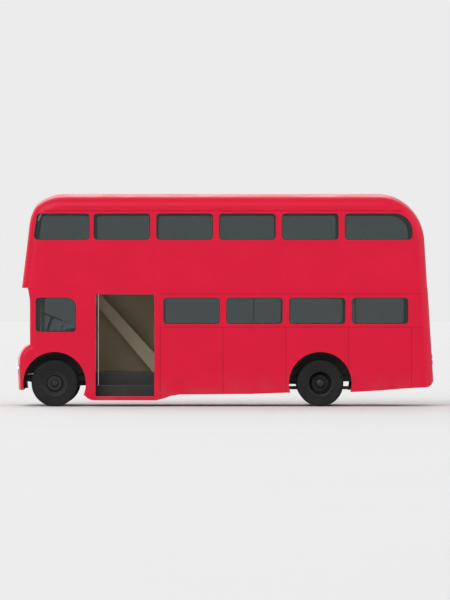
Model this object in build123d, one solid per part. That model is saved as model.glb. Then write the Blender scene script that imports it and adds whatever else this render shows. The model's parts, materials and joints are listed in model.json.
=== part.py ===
from build123d import *
import os
from math import atan, cos, degrees, radians, sin

# A front-engined double decker bus with a full-width cab, an entrance behind the front wheels
# on its near side and an enclosed staircase on its off side. Sizes are in millimetres.
# The front of the bus is at -Y, its near (left) side at +X, and it stands on Z 0.
# The origin is on the ground, at the middle of the length and width.

os.makedirs("parts", exist_ok=True)

# Reaches that go past every part of the bus, for plates that cut right through
FAR = 5000.0
THROUGH = (-FAR, FAR)
NEAR_SIDE = (0.0, FAR)
OFF_SIDE = (-FAR, 0.0)
AHEAD = (-FAR, -3500.0)
BEHIND = (3000.0, FAR)
BOW_SWEEP = 20.0

# Driving sizes of the side elevation
ROOF_Z = 4370.0
HALF_WIDTH = 1220.0
WALL = 50.0
INNER = HALF_WIDTH - WALL
WHEEL_RADIUS = 475.0
FRONT_AXLE_Y = -3480.0
REAR_AXLE_Y = 1953.0
ARCH_RADIUS = 640.0
WAIST_Z = 2427.0
CANTRAIL_Z = 4000.0

# Upper deck ends: a raked front, a short dome over it and a long dome at the rear
UPPER_FRONT_Y = -4168.0
FRONT_RAKE = 0.1223
FRONT_DOME = [(750.0, 60.0), (300.0, 35.0), (900.0, 0.0)]  # radius, heading at its end in degrees
PROFILE_FOOT_Z = WAIST_Z - 300.0
REAR_FACE_Y = 4252.0
REAR_FACE_Z = 845.0
REAR_RAKE = 0.0618
REAR_UP = (0.0, -REAR_RAKE, 1.0)
REAR_DOME_RADIUS = 950.0
CAMBER_RADIUS = 6500.0
UPPER_LEAN = 0.0244
UPPER_EDGE_RADIUS = 230.0
UPPER_FRONT_JOINT_Y = -3800.0
UPPER_REAR_JOINT_Y = 3862.0

# Lower deck: a flat cab front with a lip under the upper deck, and a nose before it
CAB_FACE_Y = -3986.0
CAB_CURVE_Z = 2050.0
CAB_LIP = 49.0
FRONT_EDGE_RADIUS = 115.0
CAB_SILL_Z = 1180.0
PILLAR_Y = -3900.0
REAR_JOINT_Y = 3915.0
NOSE_BOTTOM_Z = 338.0
NOSE_FRONT = (-FAR, -4100.0)
NOSE_BOW_RADIUS = 9000.0
NOSE_SHOULDER_Z = 900.0
NOSE_BLEND = 300.0
NOSE_PROFILE = [(-4253.0, 338.0), (-4272.7, 845.0), (-4261.0, 1040.0), (-4190.0, 1172.0), (-4100.0, 1252.0),
                (-3986.0, 1290.0)]  # Y, Z

# Skirt line of the lower deck
SKIRT_STEP = [(-2860.0, 225.0), (-2800.0, 165.0), (-2720.0, 130.0), (-2600.0, 125.0), (-1400.0, 125.0),
              (-1225.0, 170.0), (-1110.0, 215.0)]  # Y, Z
SKIRT_PLAIN = [(-2860.0, 235.0)]  # Y, Z
SKIRT_REAR = [(-920.0, 246.0), (518.0, 256.0), (1235.0, 281.0), (2670.0, 299.0), (3182.0, 328.0),
              (3592.0, 363.0), (4105.0, 392.0), (4170.0, 402.0), (4225.0, 440.0), (4262.0, 510.0)]  # Y, Z

# Entrance on the near side, with two pairs of folding leaves behind the wall
DOOR_Y = (-2640.0, -1440.0)
DOOR_Z = (207.0, 2292.0)
LEAF_PIVOT_X = 1143.0
LEAF_PIVOT_SETBACK = 80.0
LEAF_LENGTH = 337.0
LEAF_HALF = 16.0
LEAF_PIN_OFFSET = 19.0
LEAF_Z = (220.0, 2318.0)
LEAF_OPEN = 88.0
LEAF_POST_RADIUS = 8.0
LEAF_PANES_Z = [(360.0, 1180.0), (1260.0, 2225.0)]
LEAF_PANE_RADIUS = 30.0
LEAF_GLASS_HALF = 3.0
LEAF_HINGES = [(400.0, 490.0), (1220.0, 1310.0), (2080.0, 2170.0)]  # along the pin, from and to
GEAR_X = 1050.0

# Windows: the bays repeat at one pitch on each deck
BAY = 1284.0
WINDOW_WIDTH = 1156.0
WINDOW_RADIUS = 78.0
UPPER_BAY_Y = -2682.0
UPPER_BAYS = 4
UPPER_WINDOW_Z = (3411.0, 3946.0)
UPPER_FIRST = [(-3914.0, 3411.0), (-2767.0, 3411.0), (-2767.0, 3946.0), (-3837.0, 3946.0)]  # Y, Z
UPPER_LAST_Y = (2454.0, 3839.0)
UPPER_LAST_CURVE = 375.0
LOWER_BAY_Y = -1255.0
LOWER_BAYS = 4
LOWER_WINDOW_Z = (1687.0, 2225.0)
CAB_WINDOW_Y = (-3868.0, -3039.0)
CAB_WINDOW_Z = (1523.0, 2228.0)
CAB_WINDOW_DROOP = 200.0
GLASS_DEPTH = 18.0
GLASS_THICKNESS = 8.0

# Front and rear openings, as X, Z and a corner radius
GRILLE = (-330.0, 330.0, 480.0, 1010.0, 40.0)
GRILLE_DEPTH = (6.0, 34.0)
GRILLE_FRAME = 30.0
GRILLE_BARS = 20
BAR_PITCH = 30.0
BAR_WIDTH = 14.0
WINDSCREENS = [(-1080.0, -25.0, 1500.0, 2190.0, 60.0), (25.0, 1080.0, 1500.0, 2190.0, 60.0)]
UPPER_LIGHTS = [(-940.0, -25.0, 3330.0, 3900.0, 80.0), (25.0, 940.0, 3330.0, 3900.0, 80.0)]
BLIND = (-480.0, 480.0, 2640.0, 2930.0, 30.0)
REAR_LIGHTS = [(-960.0, -430.0, 1687.0, 2225.0, 70.0), (430.0, 960.0, 1687.0, 2225.0, 70.0)]
REAR_DOOR = (-340.0, 340.0, 700.0, 2330.0)  # X, X, Z, Z
REAR_DOOR_GLASS = (-260.0, 260.0, 1687.0, 2225.0)  # X, X, Z, Z
REAR_GLASS_RADIUS = 70.0
REAR_HINGE_Z = 900.0
REAR_HINGES = [(0.0, 120.0), (600.0, 720.0), (1200.0, 1320.0)]  # along the pin, from and to
RESCUE = (-600.0, 600.0, 3290.0, 3900.0)  # X, X, Z, Z
RESCUE_RADIUS = 60.0
RESCUE_FRAME = 60.0
RESCUE_GLASS_RADIUS = 50.0
RESCUE_HINGE_X = -420.0
RESCUE_HINGE_INSET = 2.0
RESCUE_HINGES = [(0.0, 120.0), (720.0, 840.0)]  # along the pin, from and to
DRIVER_DOOR = (-3842.0, -3040.0, 1190.0, 2300.0)  # Y, Y, Z, Z
DRIVER_GLASS = (-3782.0, -3100.0, 1523.0, 2228.0)  # Y, Y, Z, Z
DRIVER_HINGES = [(120.0, 240.0), (870.0, 990.0)]  # along the pin, from and to
HINGE_PROUD = 5.0
DOOR_RADIUS = 50.0
DOOR_GAP = 6.0
SIDE_MIN_X = 1000.0

# Lamps
LAMP_X = 800.0
LAMP_Z = 760.0
LAMP_RADIUS = 105.0
LAMP_WALL = 12.0
LAMP_BACK = 20.0
LAMP_Y = (-4240.0, -4130.0)
LENS_Y = (-4222.0, -4210.0)
TAIL_LAMP_X = 1020.0
TAIL_LAMP_Z = (900.0, 1020.0)
TAIL_LAMP_RADIUS = 42.0
TAIL_LAMP_DEPTH = 30.0

# Floors
FLOOR_Z = 680.0
FLOOR_THICKNESS = 40.0
UPPER_FLOOR_Z = WAIST_Z + 50.0
CAB_FLOOR_Z = 1165.0
BULKHEAD_Y = (-2775.0, -2745.0)
BULKHEAD_GLASS_Y = (-2764.0, -2756.0)
BULKHEAD_LIGHTS = [
    (150.0, 1050.0, 1500.0, 2150.0, 70.0),
    (-560.0, 60.0, 1500.0, 2150.0, 70.0),
]  # X, X, Z, Z, radius
WELL_REAR_Y = -1336.0
WELL_X = 480.0
STEP_X = 780.0
STEP_Z = 425.0
STEP_THICKNESS = 30.0
RISER = 20.0
WELL_WALL = 16.0
LINER = 18.0
RING_FOOT_Z = 345.0
CHEEK_FOOT_Z = 660.0
FRONT_LINER_X = 560.0
REAR_LINER_X = 600.0
WHEEL_BOX_TOP = WHEEL_RADIUS + ARCH_RADIUS + LINER

# Staircase on the off side
TREADS = 8
TREAD_DEPTH = 175.0
STAIR_FOOT_Y = -1340.0
STAIR_X = (-1160.0, -620.0)
STAIR_RISER = 15.0
NOSING = 20.0
STRING_WIDTH = 20.0
STRING_OUTLINE = [(-1340.0, 680.0), (-1340.0, 930.0), (-2738.0, 2470.0), (-2738.0, 2160.0),
                  (-1500.0, 680.0)]  # Y, Z
GUARD_Z = 3300.0

# Chassis
RAIL_X = (395.0, 465.0)
RAIL_Z = (500.0, 640.0)
RAIL_Y = (-4060.0, 4050.0)
RAIL_WALL = 12.0
KICK_Z = 566.0
KICK_HALF = 160.0
DOUBLER = 140.0
CROSS_MEMBERS = [(y - 35.0, y + 35.0, KICK_Z, RAIL_Z[1] - RAIL_WALL)
                 for y in (-2240.0, -1346.0, -453.0, 441.0, 1334.0, 2228.0, 3121.0, 4015.0)]  # Y, Y, Z, Z
CROSS_MEMBERS += [(-3535.0, -3465.0, 512.0, 550.0), (-2760.0, -2640.0, 610.0, 628.0)]
END_BEAM_X = 560.0
END_BEAM_Y = [(-4090.0, -4060.0), (4050.0, 4080.0)]
END_BEAM_Z = (520.0, 630.0)
OUTRIGGERS = [-1900.0, -700.0, 500.0, 3000.0]  # Y
OUTRIGGER_X = 1100.0
OUTRIGGER_HALF = 30.0
OUTRIGGER_Z = (580.0, 640.0)
TOW_EYES = [(-4090.0, -50.0), (4080.0, 80.0)]  # Y of the end beam's face, reach of the eye
TOW_Z = 450.0
TOW_X = 410.0
TOW_HALF = 30.0
TOW_THICKNESS = 30.0
TOW_RADIUS = 45.0
TOW_BORE = 20.0
END_BEAM_GRIP = 20.0
EXHAUST_RADIUS = 34.0
EXHAUST_BEND = 60.0
EXHAUST_FRONT = [(251.0, -3300.0, 480.0), (320.0, -3300.0, 480.0), (320.0, -1500.0, 440.0),
                 (320.0, -1200.0, 440.0)]
SILENCER = [(320.0, -1200.0, 440.0), (320.0, -500.0, 440.0)]
SILENCER_RADIUS = 95.0
EXHAUST_REAR = [(320.0, -500.0, 440.0), (320.0, -300.0, 440.0), (320.0, 900.0, 370.0), (320.0, 2900.0, 370.0),
                (320.0, 3400.0, 440.0), (320.0, 4120.0, 440.0)]
ENGINE_BLOCKS = [
    ((-250, 250), (-3900, -2980), (560, 900)),
    ((-190, 190), (-3860, -3020), (900, 1030)),
    ((-200, 200), (-3400, -3000), (390, 560)),
    ((-395, -250), (-3700, -3640), (600, 640)),
    ((250, 395), (-3700, -3640), (600, 640)),
    ((-395, -250), (-3160, -3100), (600, 640)),
    ((250, 395), (-3160, -3100), (600, 640)),
]  # X, Y, Z: crankcase, rocker covers, sump and four mountings
ENGINE_ROUNDS = [
    (-2980.0, -2840.0, 600.0, 190.0),
    (-2840.0, -2360.0, 500.0, 105.0),
    (-3960.0, -3900.0, 720.0, 60.0),
]  # Y, Y, Z, radius: bell housing, gearbox and fan bearing
RADIATOR = ((-330, 330), (-4165, -4105), (470, 1060))
FAN_HUB = (-4040.0, -3960.0, 720.0, 35.0)  # Y, Y, Z, radius
FAN_BLADE = (60.0, 20.0, 460.0)
FAN_ANGLES = [0, 45, 90, 135]
TANK = ((-1050, -560), (-1050, -250), (330, 560))
TANK_RADIUS = 50.0
STRAP_X = (-1060.0, -466.0)
STRAP_Y = [-950.0, -400.0]
STRAP_WIDTH = 40.0
STRAP_Z = (560.0, 600.0)
FRONT_SPRING = dict(x=(400.0, 460.0), y=FRONT_AXLE_Y, top=486.0, half=520.0, leaves=4, thickness=11.5,
                    camber=14.0)
REAR_SPRING = dict(x=(490.0, 560.0), y=REAR_AXLE_Y, top=600.0, half=640.0, leaves=5, thickness=13.0,
                   camber=34.0)
LEAF_STEP = 0.17
HANGER_HALF = 20.0
HANGER_Z = (575.0, 637.0)

# Wheels, axles and steering
TYRE_X = 1045.0
TWIN_PITCH = 288.0
RIM_RADIUS = 254.0
TYRE_SECTION = [(96.0, 475.0), (116.0, 430.0), (120.0, 324.0), (102.0, 254.0)]  # half width, radius
BEAM_X = 810.0
BEAM_HALF = 40.0
BEAM_Z = (370.0, 440.0)
NECK_HALF = 35.0
BOSS_Z = (425.0, 525.0)
BOSS_RADIUS = 45.0
KINGPIN_X = 870.0
KINGPIN_RADIUS = 21.0
FORK_Z = (385.0, 565.0)
FORK_GAP = 5.0
FORK_RADIUS = 44.0
FORK_WEB = (52.0, 74.0)
STUB_AXLE_RADIUS = 35.0
STUB_REACH = 90.0
ARM_Z = (332.0, 352.0)
ARM_LENGTH = 200.0
AXLE_TUBES = [(700.0, 60.0), (1075.0, 45.0)]  # reach each side, radius
DIFFERENTIAL = [(-130.0, 110.0, 165.0), (-260.0, -120.0, 80.0)]  # Y from and to the axle, radius
SHAFT_RADIUS = 38.0
RUNNING = 0.08
FRONT_BORE = STUB_AXLE_RADIUS + RUNNING
REAR_BORE = AXLE_TUBES[1][1] + RUNNING
FRONT_WHEEL = [
    (-60, FRONT_BORE), (95, FRONT_BORE), (95, 0), (115, 0), (112, 40), (98, 62), (60, 85), (60, 150),
    (25, 178), (25, 240), (100, 240), (100, RIM_RADIUS), (-100, RIM_RADIUS), (-100, 240), (5, 240), (5, 178),
    (-60, 178),
]  # along X from the tyre's middle, radius
OUTER_WHEEL = [
    (-144, REAR_BORE), (35, REAR_BORE), (35, 0), (58, 0), (55, 40), (40, 75), (-20, 95), (-130, 100),
    (-130, 165), (-55, 240), (100, 240), (100, RIM_RADIUS), (-100, RIM_RADIUS), (-100, 240), (-75, 240),
    (-144, 171),
]  # along X from the outer tyre's middle, radius
INNER_WHEEL = [
    (-300, REAR_BORE), (-144, REAR_BORE), (-144, 171), (-213, 240), (-188, 240), (-188, RIM_RADIUS),
    (-388, RIM_RADIUS), (-388, 240), (-233, 240), (-178, 185), (-300, 185),
]  # the same way
WHEEL_CENTRE = (-700.0, -3590.0, 1830.0)
COLUMN_FOOT = (-700.0, -3830.0, 1165.0)
COLUMN_RADIUS = 28.0
COLUMN_PLATE = (140.0, 140.0, 30.0)
STUB_RADIUS = 15.0
STEERING_WHEEL_RADIUS = 225.0
RIM_GRIP = 13.0
HUB_RADIUS = 40.0
HUB_FOOT = -58.0
SPOKE = (24.0, 12.0)
SPOKE_ANGLES = [90, 210, 330]

# Handrails from the steps or the floor to the ceiling
HANDRAIL_RADIUS = 16.0
HANDRAILS = [
    (700.0, -2600.0, STEP_Z), (700.0, -1420.0, STEP_Z), (430.0, -1300.0, FLOOR_Z), (-560.0, -1300.0, FLOOR_Z),
    (-240.0, 600.0, FLOOR_Z), (240.0, 600.0, FLOOR_Z), (-240.0, 2700.0, FLOOR_Z), (240.0, 2700.0, FLOOR_Z),
]  # X, Y, Z of the foot

# Seats, as Y of each row
LOWER_ROWS = [-860.0, -100.0, 660.0, 2960.0, 3560.0]
UPPER_ROWS = [-3560.0 + 800.0 * i for i in range(9)]
STAIRWELL_Y = (-2740.0, -1340.0)
SEAT_X = (275.0, 1130.0)
BENCH_Y = (1380.0, 2530.0)
REAR_BENCH_Y = 3685.0
REAR_BENCH_X = (-1040.0, 1040.0)
SEAT_Z = 430.0
SEAT_BACK_Z = 880.0
CUSHION_DEPTH = 100.0
SQUAB_DROP = 20.0
SQUAB_FRONT = 150.0
SQUAB_BACK = 225.0
SQUAB_TOP = 285.0
SQUAB_LEAN = (SQUAB_TOP - SQUAB_BACK) / (SEAT_BACK_Z - SEAT_Z + SQUAB_DROP)
LEG_INSET = 60.0
LEG_WIDTH = 30.0
LEG_DEPTH = 120.0
BENCH = [
    ("frame", (560.0, 1160.0), 0.0, 12.0),
    ("soft", (620.0, 1040.0), 12.0, 92.0),
    ("soft", (1040.0, 1120.0), 92.0, 440.0),
]  # kind, X, Z from and to over the wheel boxes
DRIVER_SEAT = [
    ("soft", (-930.0, -470.0), (-3260.0, -2900.0), 330.0, 420.0),
    ("soft", (-930.0, -470.0), (-2900.0, -2820.0), 400.0, 880.0),
    ("frame", (-780.0, -620.0), (-3160.0, -2960.0), 0.0, 310.0),
    ("frame", (-930.0, -470.0), (-3240.0, -2900.0), 310.0, 330.0),
]  # kind, X, Y, Z from and to over the cab floor
SHELL = 12.0
PAN = 18.0
ROW_DEPTH = 400.0


def side_plate(face, x_low, x_high):
    """A flat plate from a side elevation drawn as Y and Z."""
    return extrude(Plane.YZ.offset(x_low) * face, amount=x_high - x_low)


def front_plate(face, y_low, y_high):
    """A flat plate from a front elevation drawn as X and Z."""
    return extrude(Plane.XZ.offset(-y_low) * face, amount=-(y_high - y_low))


def block(x, y, z):
    """A box between the given low and high values of X, Y and Z."""
    size = (x[1] - x[0], y[1] - y[0], z[1] - z[0])
    centre = ((x[0] + x[1]) / 2, (y[0] + y[1]) / 2, (z[0] + z[1]) / 2)
    return Pos(*centre) * Box(*size)


def rod(start, end, radius):
    """A round bar between two points."""
    direction = Vector(*end) - Vector(*start)
    plane = Plane(origin=start, z_dir=direction)
    return extrude(plane * Circle(radius), amount=direction.length)


def rounded(low, high, radius):
    """A rectangle with rounded corners between two corners of a drawing."""
    centre = ((low[0] + high[0]) / 2, (low[1] + high[1]) / 2)
    return Pos(*centre) * RectangleRounded(high[0] - low[0], high[1] - low[1], radius)


def ordered(a, b):
    """Two values as low and high."""
    return (min(a, b), max(a, b))


def polygon(points):
    """A face from its corners in order."""
    return make_face(Polyline(*points, close=True))


def solids_of(*shapes):
    """Separate solids kept together as one node."""
    return Compound(children=[s for shape in shapes for s in shape.solids()])


def front_y(z):
    """Y of the upper deck's front skin at a height, on the middle line."""
    return UPPER_FRONT_Y + (z - WAIST_Z) * FRONT_RAKE


def rear_y(z):
    """Y of the rear skin at a height, on the middle line and below the dome."""
    return REAR_FACE_Y - (z - REAR_FACE_Z) * REAR_RAKE


def dome_y(z):
    """Y of the rear dome's skin at a height, on the middle line."""
    turn = atan(REAR_RAKE)
    start = ROOF_Z - REAR_DOME_RADIUS * (1 - sin(turn))
    centre = rear_y(start) - REAR_DOME_RADIUS * cos(turn)
    return centre + (REAR_DOME_RADIUS**2 - (z - ROOF_Z + REAR_DOME_RADIUS) ** 2) ** 0.5


# Body masters: each deck is a solid form, and its shell is that form less one drawn in by the wall
def revolved(face, half_angle):
    """Sweeps a side elevation about the centre of the roof's camber, which bows roof and ends."""
    axis = Axis((0, 0, ROOF_Z - CAMBER_RADIUS), (0, 1, 0))
    return revolve((Plane.YZ * face).rotate(axis, -half_angle), axis, 2 * half_angle)


def upper_profile():
    """Side elevation of the upper deck, run on below its lower edge."""
    low = PROFILE_FOOT_Z
    heading = 90 - degrees(atan(FRONT_RAKE))
    rise, turn = 0.0, heading
    for radius, end in FRONT_DOME:
        rise += radius * (cos(radians(end)) - cos(radians(turn)))
        turn = end
    edge = Line((front_y(low), low), (front_y(ROOF_Z - rise), ROOF_Z - rise))
    edges, turn = [edge], heading
    for radius, end in FRONT_DOME:
        edges.append(JernArc(edges[-1] @ 1, edges[-1] % 1, radius, end - turn))
        turn = end
    rear_turn = 90 - degrees(atan(REAR_RAKE))
    drop = REAR_DOME_RADIUS * (1 - cos(radians(rear_turn)))
    arc_y = rear_y(ROOF_Z - drop) - REAR_DOME_RADIUS * sin(radians(rear_turn))
    edges.append(Line(edges[-1] @ 1, (arc_y, ROOF_Z)))
    edges.append(JernArc((arc_y, ROOF_Z), (1, 0), REAR_DOME_RADIUS, -rear_turn))
    edges.append(Line(edges[-1] @ 1, (rear_y(low), low)))
    edges.append(Line((rear_y(low), low), (front_y(low), low)))
    return make_face(edges)


def upper_form(inset):
    """The whole upper deck as a solid, drawn in from its outer skin by the inset."""
    face = offset(upper_profile(), -inset) if inset else upper_profile()
    body = revolved(face, BOW_SWEEP)
    low = WAIST_Z - 2 * inset
    top = ROOF_Z + 2 * WALL
    side_low = HALF_WIDTH - inset - (low - WAIST_Z) * UPPER_LEAN
    side_top = HALF_WIDTH - inset - (top - WAIST_Z) * UPPER_LEAN
    section = polygon([(-side_low, low), (side_low, low), (side_top, top), (-side_top, top)])
    body = body & front_plate(section, *THROUGH)
    edges = [e for e in body.edges() if abs(e.center().X) > SIDE_MIN_X and e.center().Z > low + 1]
    return fillet(edges, UPPER_EDGE_RADIUS - inset)


def upright_edges(body, side, top_z):
    """The edges along both sides of a form, apart from those at its top and bottom."""
    edges = [e for e in body.edges() if abs(e.center().X) > side - 1]
    return [e for e in edges if 10 < e.center().Z < top_z - 1]


def lower_form(inset):
    """The lower deck as a solid with rounded corners, drawn in from its outer skin by the inset."""
    low, top_z = -2 * WALL, WAIST_Z + 2 * inset
    radius = (CAB_LIP**2 + (WAIST_Z - CAB_CURVE_Z) ** 2) / (2 * CAB_LIP)
    angle = 2 * degrees(atan(CAB_LIP / (WAIST_Z - CAB_CURVE_Z)))
    rise = Line((CAB_FACE_Y + inset, low), (CAB_FACE_Y + inset, CAB_CURVE_Z))
    lip = JernArc(rise @ 1, (0, 1), radius + inset, angle)
    over = Line(lip @ 1, lip @ 1 + (lip % 1) * 200)
    top = Line(over @ 1, (rear_y((over @ 1).Y) - inset, (over @ 1).Y))
    back = Line(top @ 1, (rear_y(low) - inset, low))
    face = make_face([rise, lip, over, top, back, Line(back @ 1, rise @ 0)])
    side = HALF_WIDTH - inset
    body = side_plate(face, -side, side) & block((-side, side), THROUGH, (-inset, top_z))
    front_edges = [e for e in upright_edges(body, side, top_z) if e.center().Y < 0]
    body = fillet(front_edges, FRONT_EDGE_RADIUS - inset)
    rear_edges = [e for e in upright_edges(body, side, top_z) if e.center().Y > 0]
    return fillet(rear_edges, UPPER_EDGE_RADIUS - inset)


def nose_form(inset):
    """The bonnet nose as a solid, bowed in plan, drawn in from its outer skin by the inset."""
    back, low = PILLAR_Y + 3 * inset, NOSE_BOTTOM_Z - 3 * inset
    points = [(NOSE_PROFILE[0][0], low)] + NOSE_PROFILE[1:] + [(back, NOSE_PROFILE[-1][1]), (back, low)]
    face = polygon(points)
    face = fillet([v for v in face.vertices() if v.Y > NOSE_SHOULDER_Z and v.X < back - 1], NOSE_BLEND)
    face = offset(face, -inset) if inset else face
    axis = Axis((0, NOSE_PROFILE[1][0] + NOSE_BOW_RADIUS, 0), (0, 0, 1))
    body = revolve((Plane.YZ * face).rotate(axis, -BOW_SWEEP / 2), axis, BOW_SWEEP)
    side = HALF_WIDTH - inset
    body = body & block((-side, side), (-FAR, back - inset), (low + inset, FAR))
    edges = [e for e in body.edges() if abs(e.center().X) > side - 1 and e.center().Z > low + inset + 1]
    edges = [e for e in edges if e.center().Y < back - inset - 1]
    return fillet(edges, FRONT_EDGE_RADIUS - inset)


def skirt(points):
    """Everything below a skirt line, as a plate to cut away."""
    line = points + SKIRT_REAR
    return polygon([(-FAR, -WALL), (-FAR, points[0][1])] + line + [(FAR, line[-1][1]), (FAR, -WALL)])


def arch(axle_y, radius, x):
    """A wheel arch's cylinder between two values of X."""
    return side_plate(Pos(axle_y, WHEEL_RADIUS) * Circle(radius), *x)


def upper_window_faces():
    """Outlines of the upper deck's side windows, as Y and Z."""
    first = polygon(UPPER_FIRST)
    faces = [fillet(first.vertices(), WINDOW_RADIUS)]
    for i in range(UPPER_BAYS):
        y = UPPER_BAY_Y + i * BAY
        faces.append(rounded((y, UPPER_WINDOW_Z[0]), (y + WINDOW_WIDTH, UPPER_WINDOW_Z[1]), WINDOW_RADIUS))
    (y0, y1), (z0, z1) = UPPER_LAST_Y, UPPER_WINDOW_Z
    last = polygon([(y0, z0), (y1, z0), (y1, z1), (y0, z1)])
    last = fillet([v for v in last.vertices() if v.X < y1 - 1 or v.Y < z1 - 1], WINDOW_RADIUS)
    corner = [v for v in last.vertices() if v.X > y1 - 1 and v.Y > z1 - 1]
    faces.append(fillet(corner, UPPER_LAST_CURVE))
    return faces


def lower_window_faces():
    """Outlines of the lower saloon's side windows, as Y and Z."""
    faces = []
    for i in range(LOWER_BAYS):
        y = LOWER_BAY_Y + i * BAY
        faces.append(rounded((y, LOWER_WINDOW_Z[0]), (y + WINDOW_WIDTH, LOWER_WINDOW_Z[1]), WINDOW_RADIUS))
    return faces


def cab_window_face():
    """Outline of the near side cab window, with a drooping rear top corner."""
    (y0, y1), (z0, z1) = CAB_WINDOW_Y, CAB_WINDOW_Z
    face = polygon([(y0, z0), (y1, z0), (y1, z1), (y0, z1)])
    rear = [v for v in face.vertices() if v.X > y1 - 1 and v.Y > z1 - 1]
    face = fillet(rear, CAB_WINDOW_DROOP)
    corners = [v for v in face.vertices() if v.X < y0 + 1 or v.Y < z0 + 1]
    return fillet(corners, WINDOW_RADIUS)


def front_faces(openings):
    """Rounded outlines on a front elevation."""
    return [rounded((x0, z0), (x1, z1), r) for x0, x1, z0, z1, r in openings]


def framed(opening, grow, radius):
    """An opening's outline, grown on every side, with its own corner radius."""
    u0, u1, v0, v1 = opening
    return rounded((u0 - grow, v0 - grow), (u1 + grow, v1 + grow), radius)


# Hinges: barrels on one line take turns between the fixed side and the moving side
def on_line(start, direction, low, high, radius):
    """A round bar on a line, between two distances from its start."""
    unit = Vector(*direction).normalized()
    a = Vector(*start) + unit * low
    b = Vector(*start) + unit * high
    return rod(tuple(a), tuple(b), radius)


def hinged(fixed, moving, start, direction, spans, radius=9.0, pin=4.0):
    """Adds a hinge: the moving side's barrels turn on pins held by the fixed side's barrels."""
    room = radius + 2
    for low, high in spans:
        third = (high - low) / 3
        a, b = low + third, high - third
        bore = on_line(start, direction, a - 5, b + 5, pin + RUNNING)
        for end_low, end_high in ((low, a), (b, high)):
            moving = moving - on_line(start, direction, end_low - 2, end_high + 2, room)
        fixed = fixed - on_line(start, direction, a - 1, b + 1, room)
        moving = moving + (on_line(start, direction, a + 1, b - 1, radius) - bore) - bore
        fixed = fixed + on_line(start, direction, low, a - 1, radius)
        fixed = fixed + on_line(start, direction, b + 1, high, radius)
        fixed = fixed + on_line(start, direction, a - 5, b + 5, pin)
    return fixed, moving


upper_outer = upper_form(0)
upper_inner = upper_form(WALL)
upper_sheet = upper_form(GLASS_DEPTH) - upper_form(GLASS_DEPTH + GLASS_THICKNESS)
lower_outer = lower_form(0)
lower_inner = lower_form(WALL)
lower_sheet = lower_form(GLASS_DEPTH) - lower_form(GLASS_DEPTH + GLASS_THICKNESS)
nose_outer = nose_form(0)
nose_inner = nose_form(WALL)

# Upper deck panels
upper_side_prisms = [side_plate(f, *THROUGH) for f in upper_window_faces()]
upper_front_prisms = [front_plate(f, *AHEAD) for f in front_faces(UPPER_LIGHTS + [BLIND])]
rescue_prism = front_plate(framed(RESCUE, 0, RESCUE_RADIUS), *BEHIND)
rescue_hole = front_plate(framed(RESCUE, DOOR_GAP, RESCUE_RADIUS + DOOR_GAP), *BEHIND)
rescue_glass_prism = front_plate(framed(RESCUE, -RESCUE_FRAME, RESCUE_GLASS_RADIUS), *BEHIND)

upper_shell = upper_outer - upper_inner
for prism in upper_side_prisms + upper_front_prisms:
    upper_shell = upper_shell - prism
upper_z = (WAIST_Z, CANTRAIL_Z)
side_y = (UPPER_FRONT_JOINT_Y, UPPER_REAR_JOINT_Y)
rear_zone = block(THROUGH, (UPPER_REAR_JOINT_Y, FAR), upper_z)
rear_zone = rear_zone + block((-SIDE_MIN_X, SIDE_MIN_X), BEHIND, upper_z)
upper_rear_full = upper_shell & rear_zone
upper_front = upper_shell & block(THROUGH, (-FAR, UPPER_FRONT_JOINT_Y), upper_z)
upper_side_left = upper_shell & block((SIDE_MIN_X, FAR), side_y, upper_z)
upper_side_right = upper_shell & block((-FAR, -SIDE_MIN_X), side_y, upper_z)
roof = upper_shell & block(THROUGH, THROUGH, (CANTRAIL_Z, FAR))

upper_rear = upper_rear_full - rescue_hole
rescue_window = (upper_rear_full & rescue_prism) - rescue_glass_prism
rescue_glass = upper_sheet & rescue_glass_prism
rescue_top = RESCUE[3] + DOOR_GAP / 2
rescue_hinge = (RESCUE_HINGE_X, dome_y(rescue_top) - RESCUE_HINGE_INSET, rescue_top)
upper_rear, rescue_window = hinged(upper_rear, rescue_window, rescue_hinge, (1, 0, 0), RESCUE_HINGES)

# Lower deck panels
lower_shell = lower_outer - lower_inner
lower_side_prisms = [side_plate(f, *THROUGH) for f in lower_window_faces()]
cab_prism = side_plate(cab_window_face(), *NEAR_SIDE)
for axle_y in (FRONT_AXLE_Y, REAR_AXLE_Y):
    lower_shell = lower_shell - arch(axle_y, ARCH_RADIUS, THROUGH)
for prism in lower_side_prisms:
    lower_shell = lower_shell - prism
side_span = (PILLAR_Y, REAR_JOINT_Y)
lower_side_left = lower_shell & block(NEAR_SIDE, side_span, (0, WAIST_Z))
lower_side_left = lower_side_left - cab_prism - side_plate(skirt(SKIRT_STEP), *NEAR_SIDE)
lower_side_left = lower_side_left - block((SIDE_MIN_X, FAR), DOOR_Y, DOOR_Z)
lower_side_right = lower_shell & block(OFF_SIDE, side_span, (0, WAIST_Z))
lower_side_right = lower_side_right - side_plate(skirt(SKIRT_PLAIN), *OFF_SIDE)

driver_prism = side_plate(framed(DRIVER_DOOR, 0, DOOR_RADIUS), *OFF_SIDE)
driver_hole = side_plate(framed(DRIVER_DOOR, DOOR_GAP, DOOR_RADIUS + 4), *OFF_SIDE)
driver_glass_prism = side_plate(framed(DRIVER_GLASS, 0, WINDOW_RADIUS), *OFF_SIDE)
driver_door = (lower_side_right & driver_prism) - driver_glass_prism
lower_side_right = lower_side_right - driver_hole
driver_glass = lower_sheet & driver_glass_prism
driver_hinge = (-HALF_WIDTH - HINGE_PROUD, DRIVER_DOOR[0] - DOOR_GAP / 2, DRIVER_DOOR[2])
lower_side_right, driver_door = hinged(lower_side_right, driver_door, driver_hinge, (0, 0, 1), DRIVER_HINGES)

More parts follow.
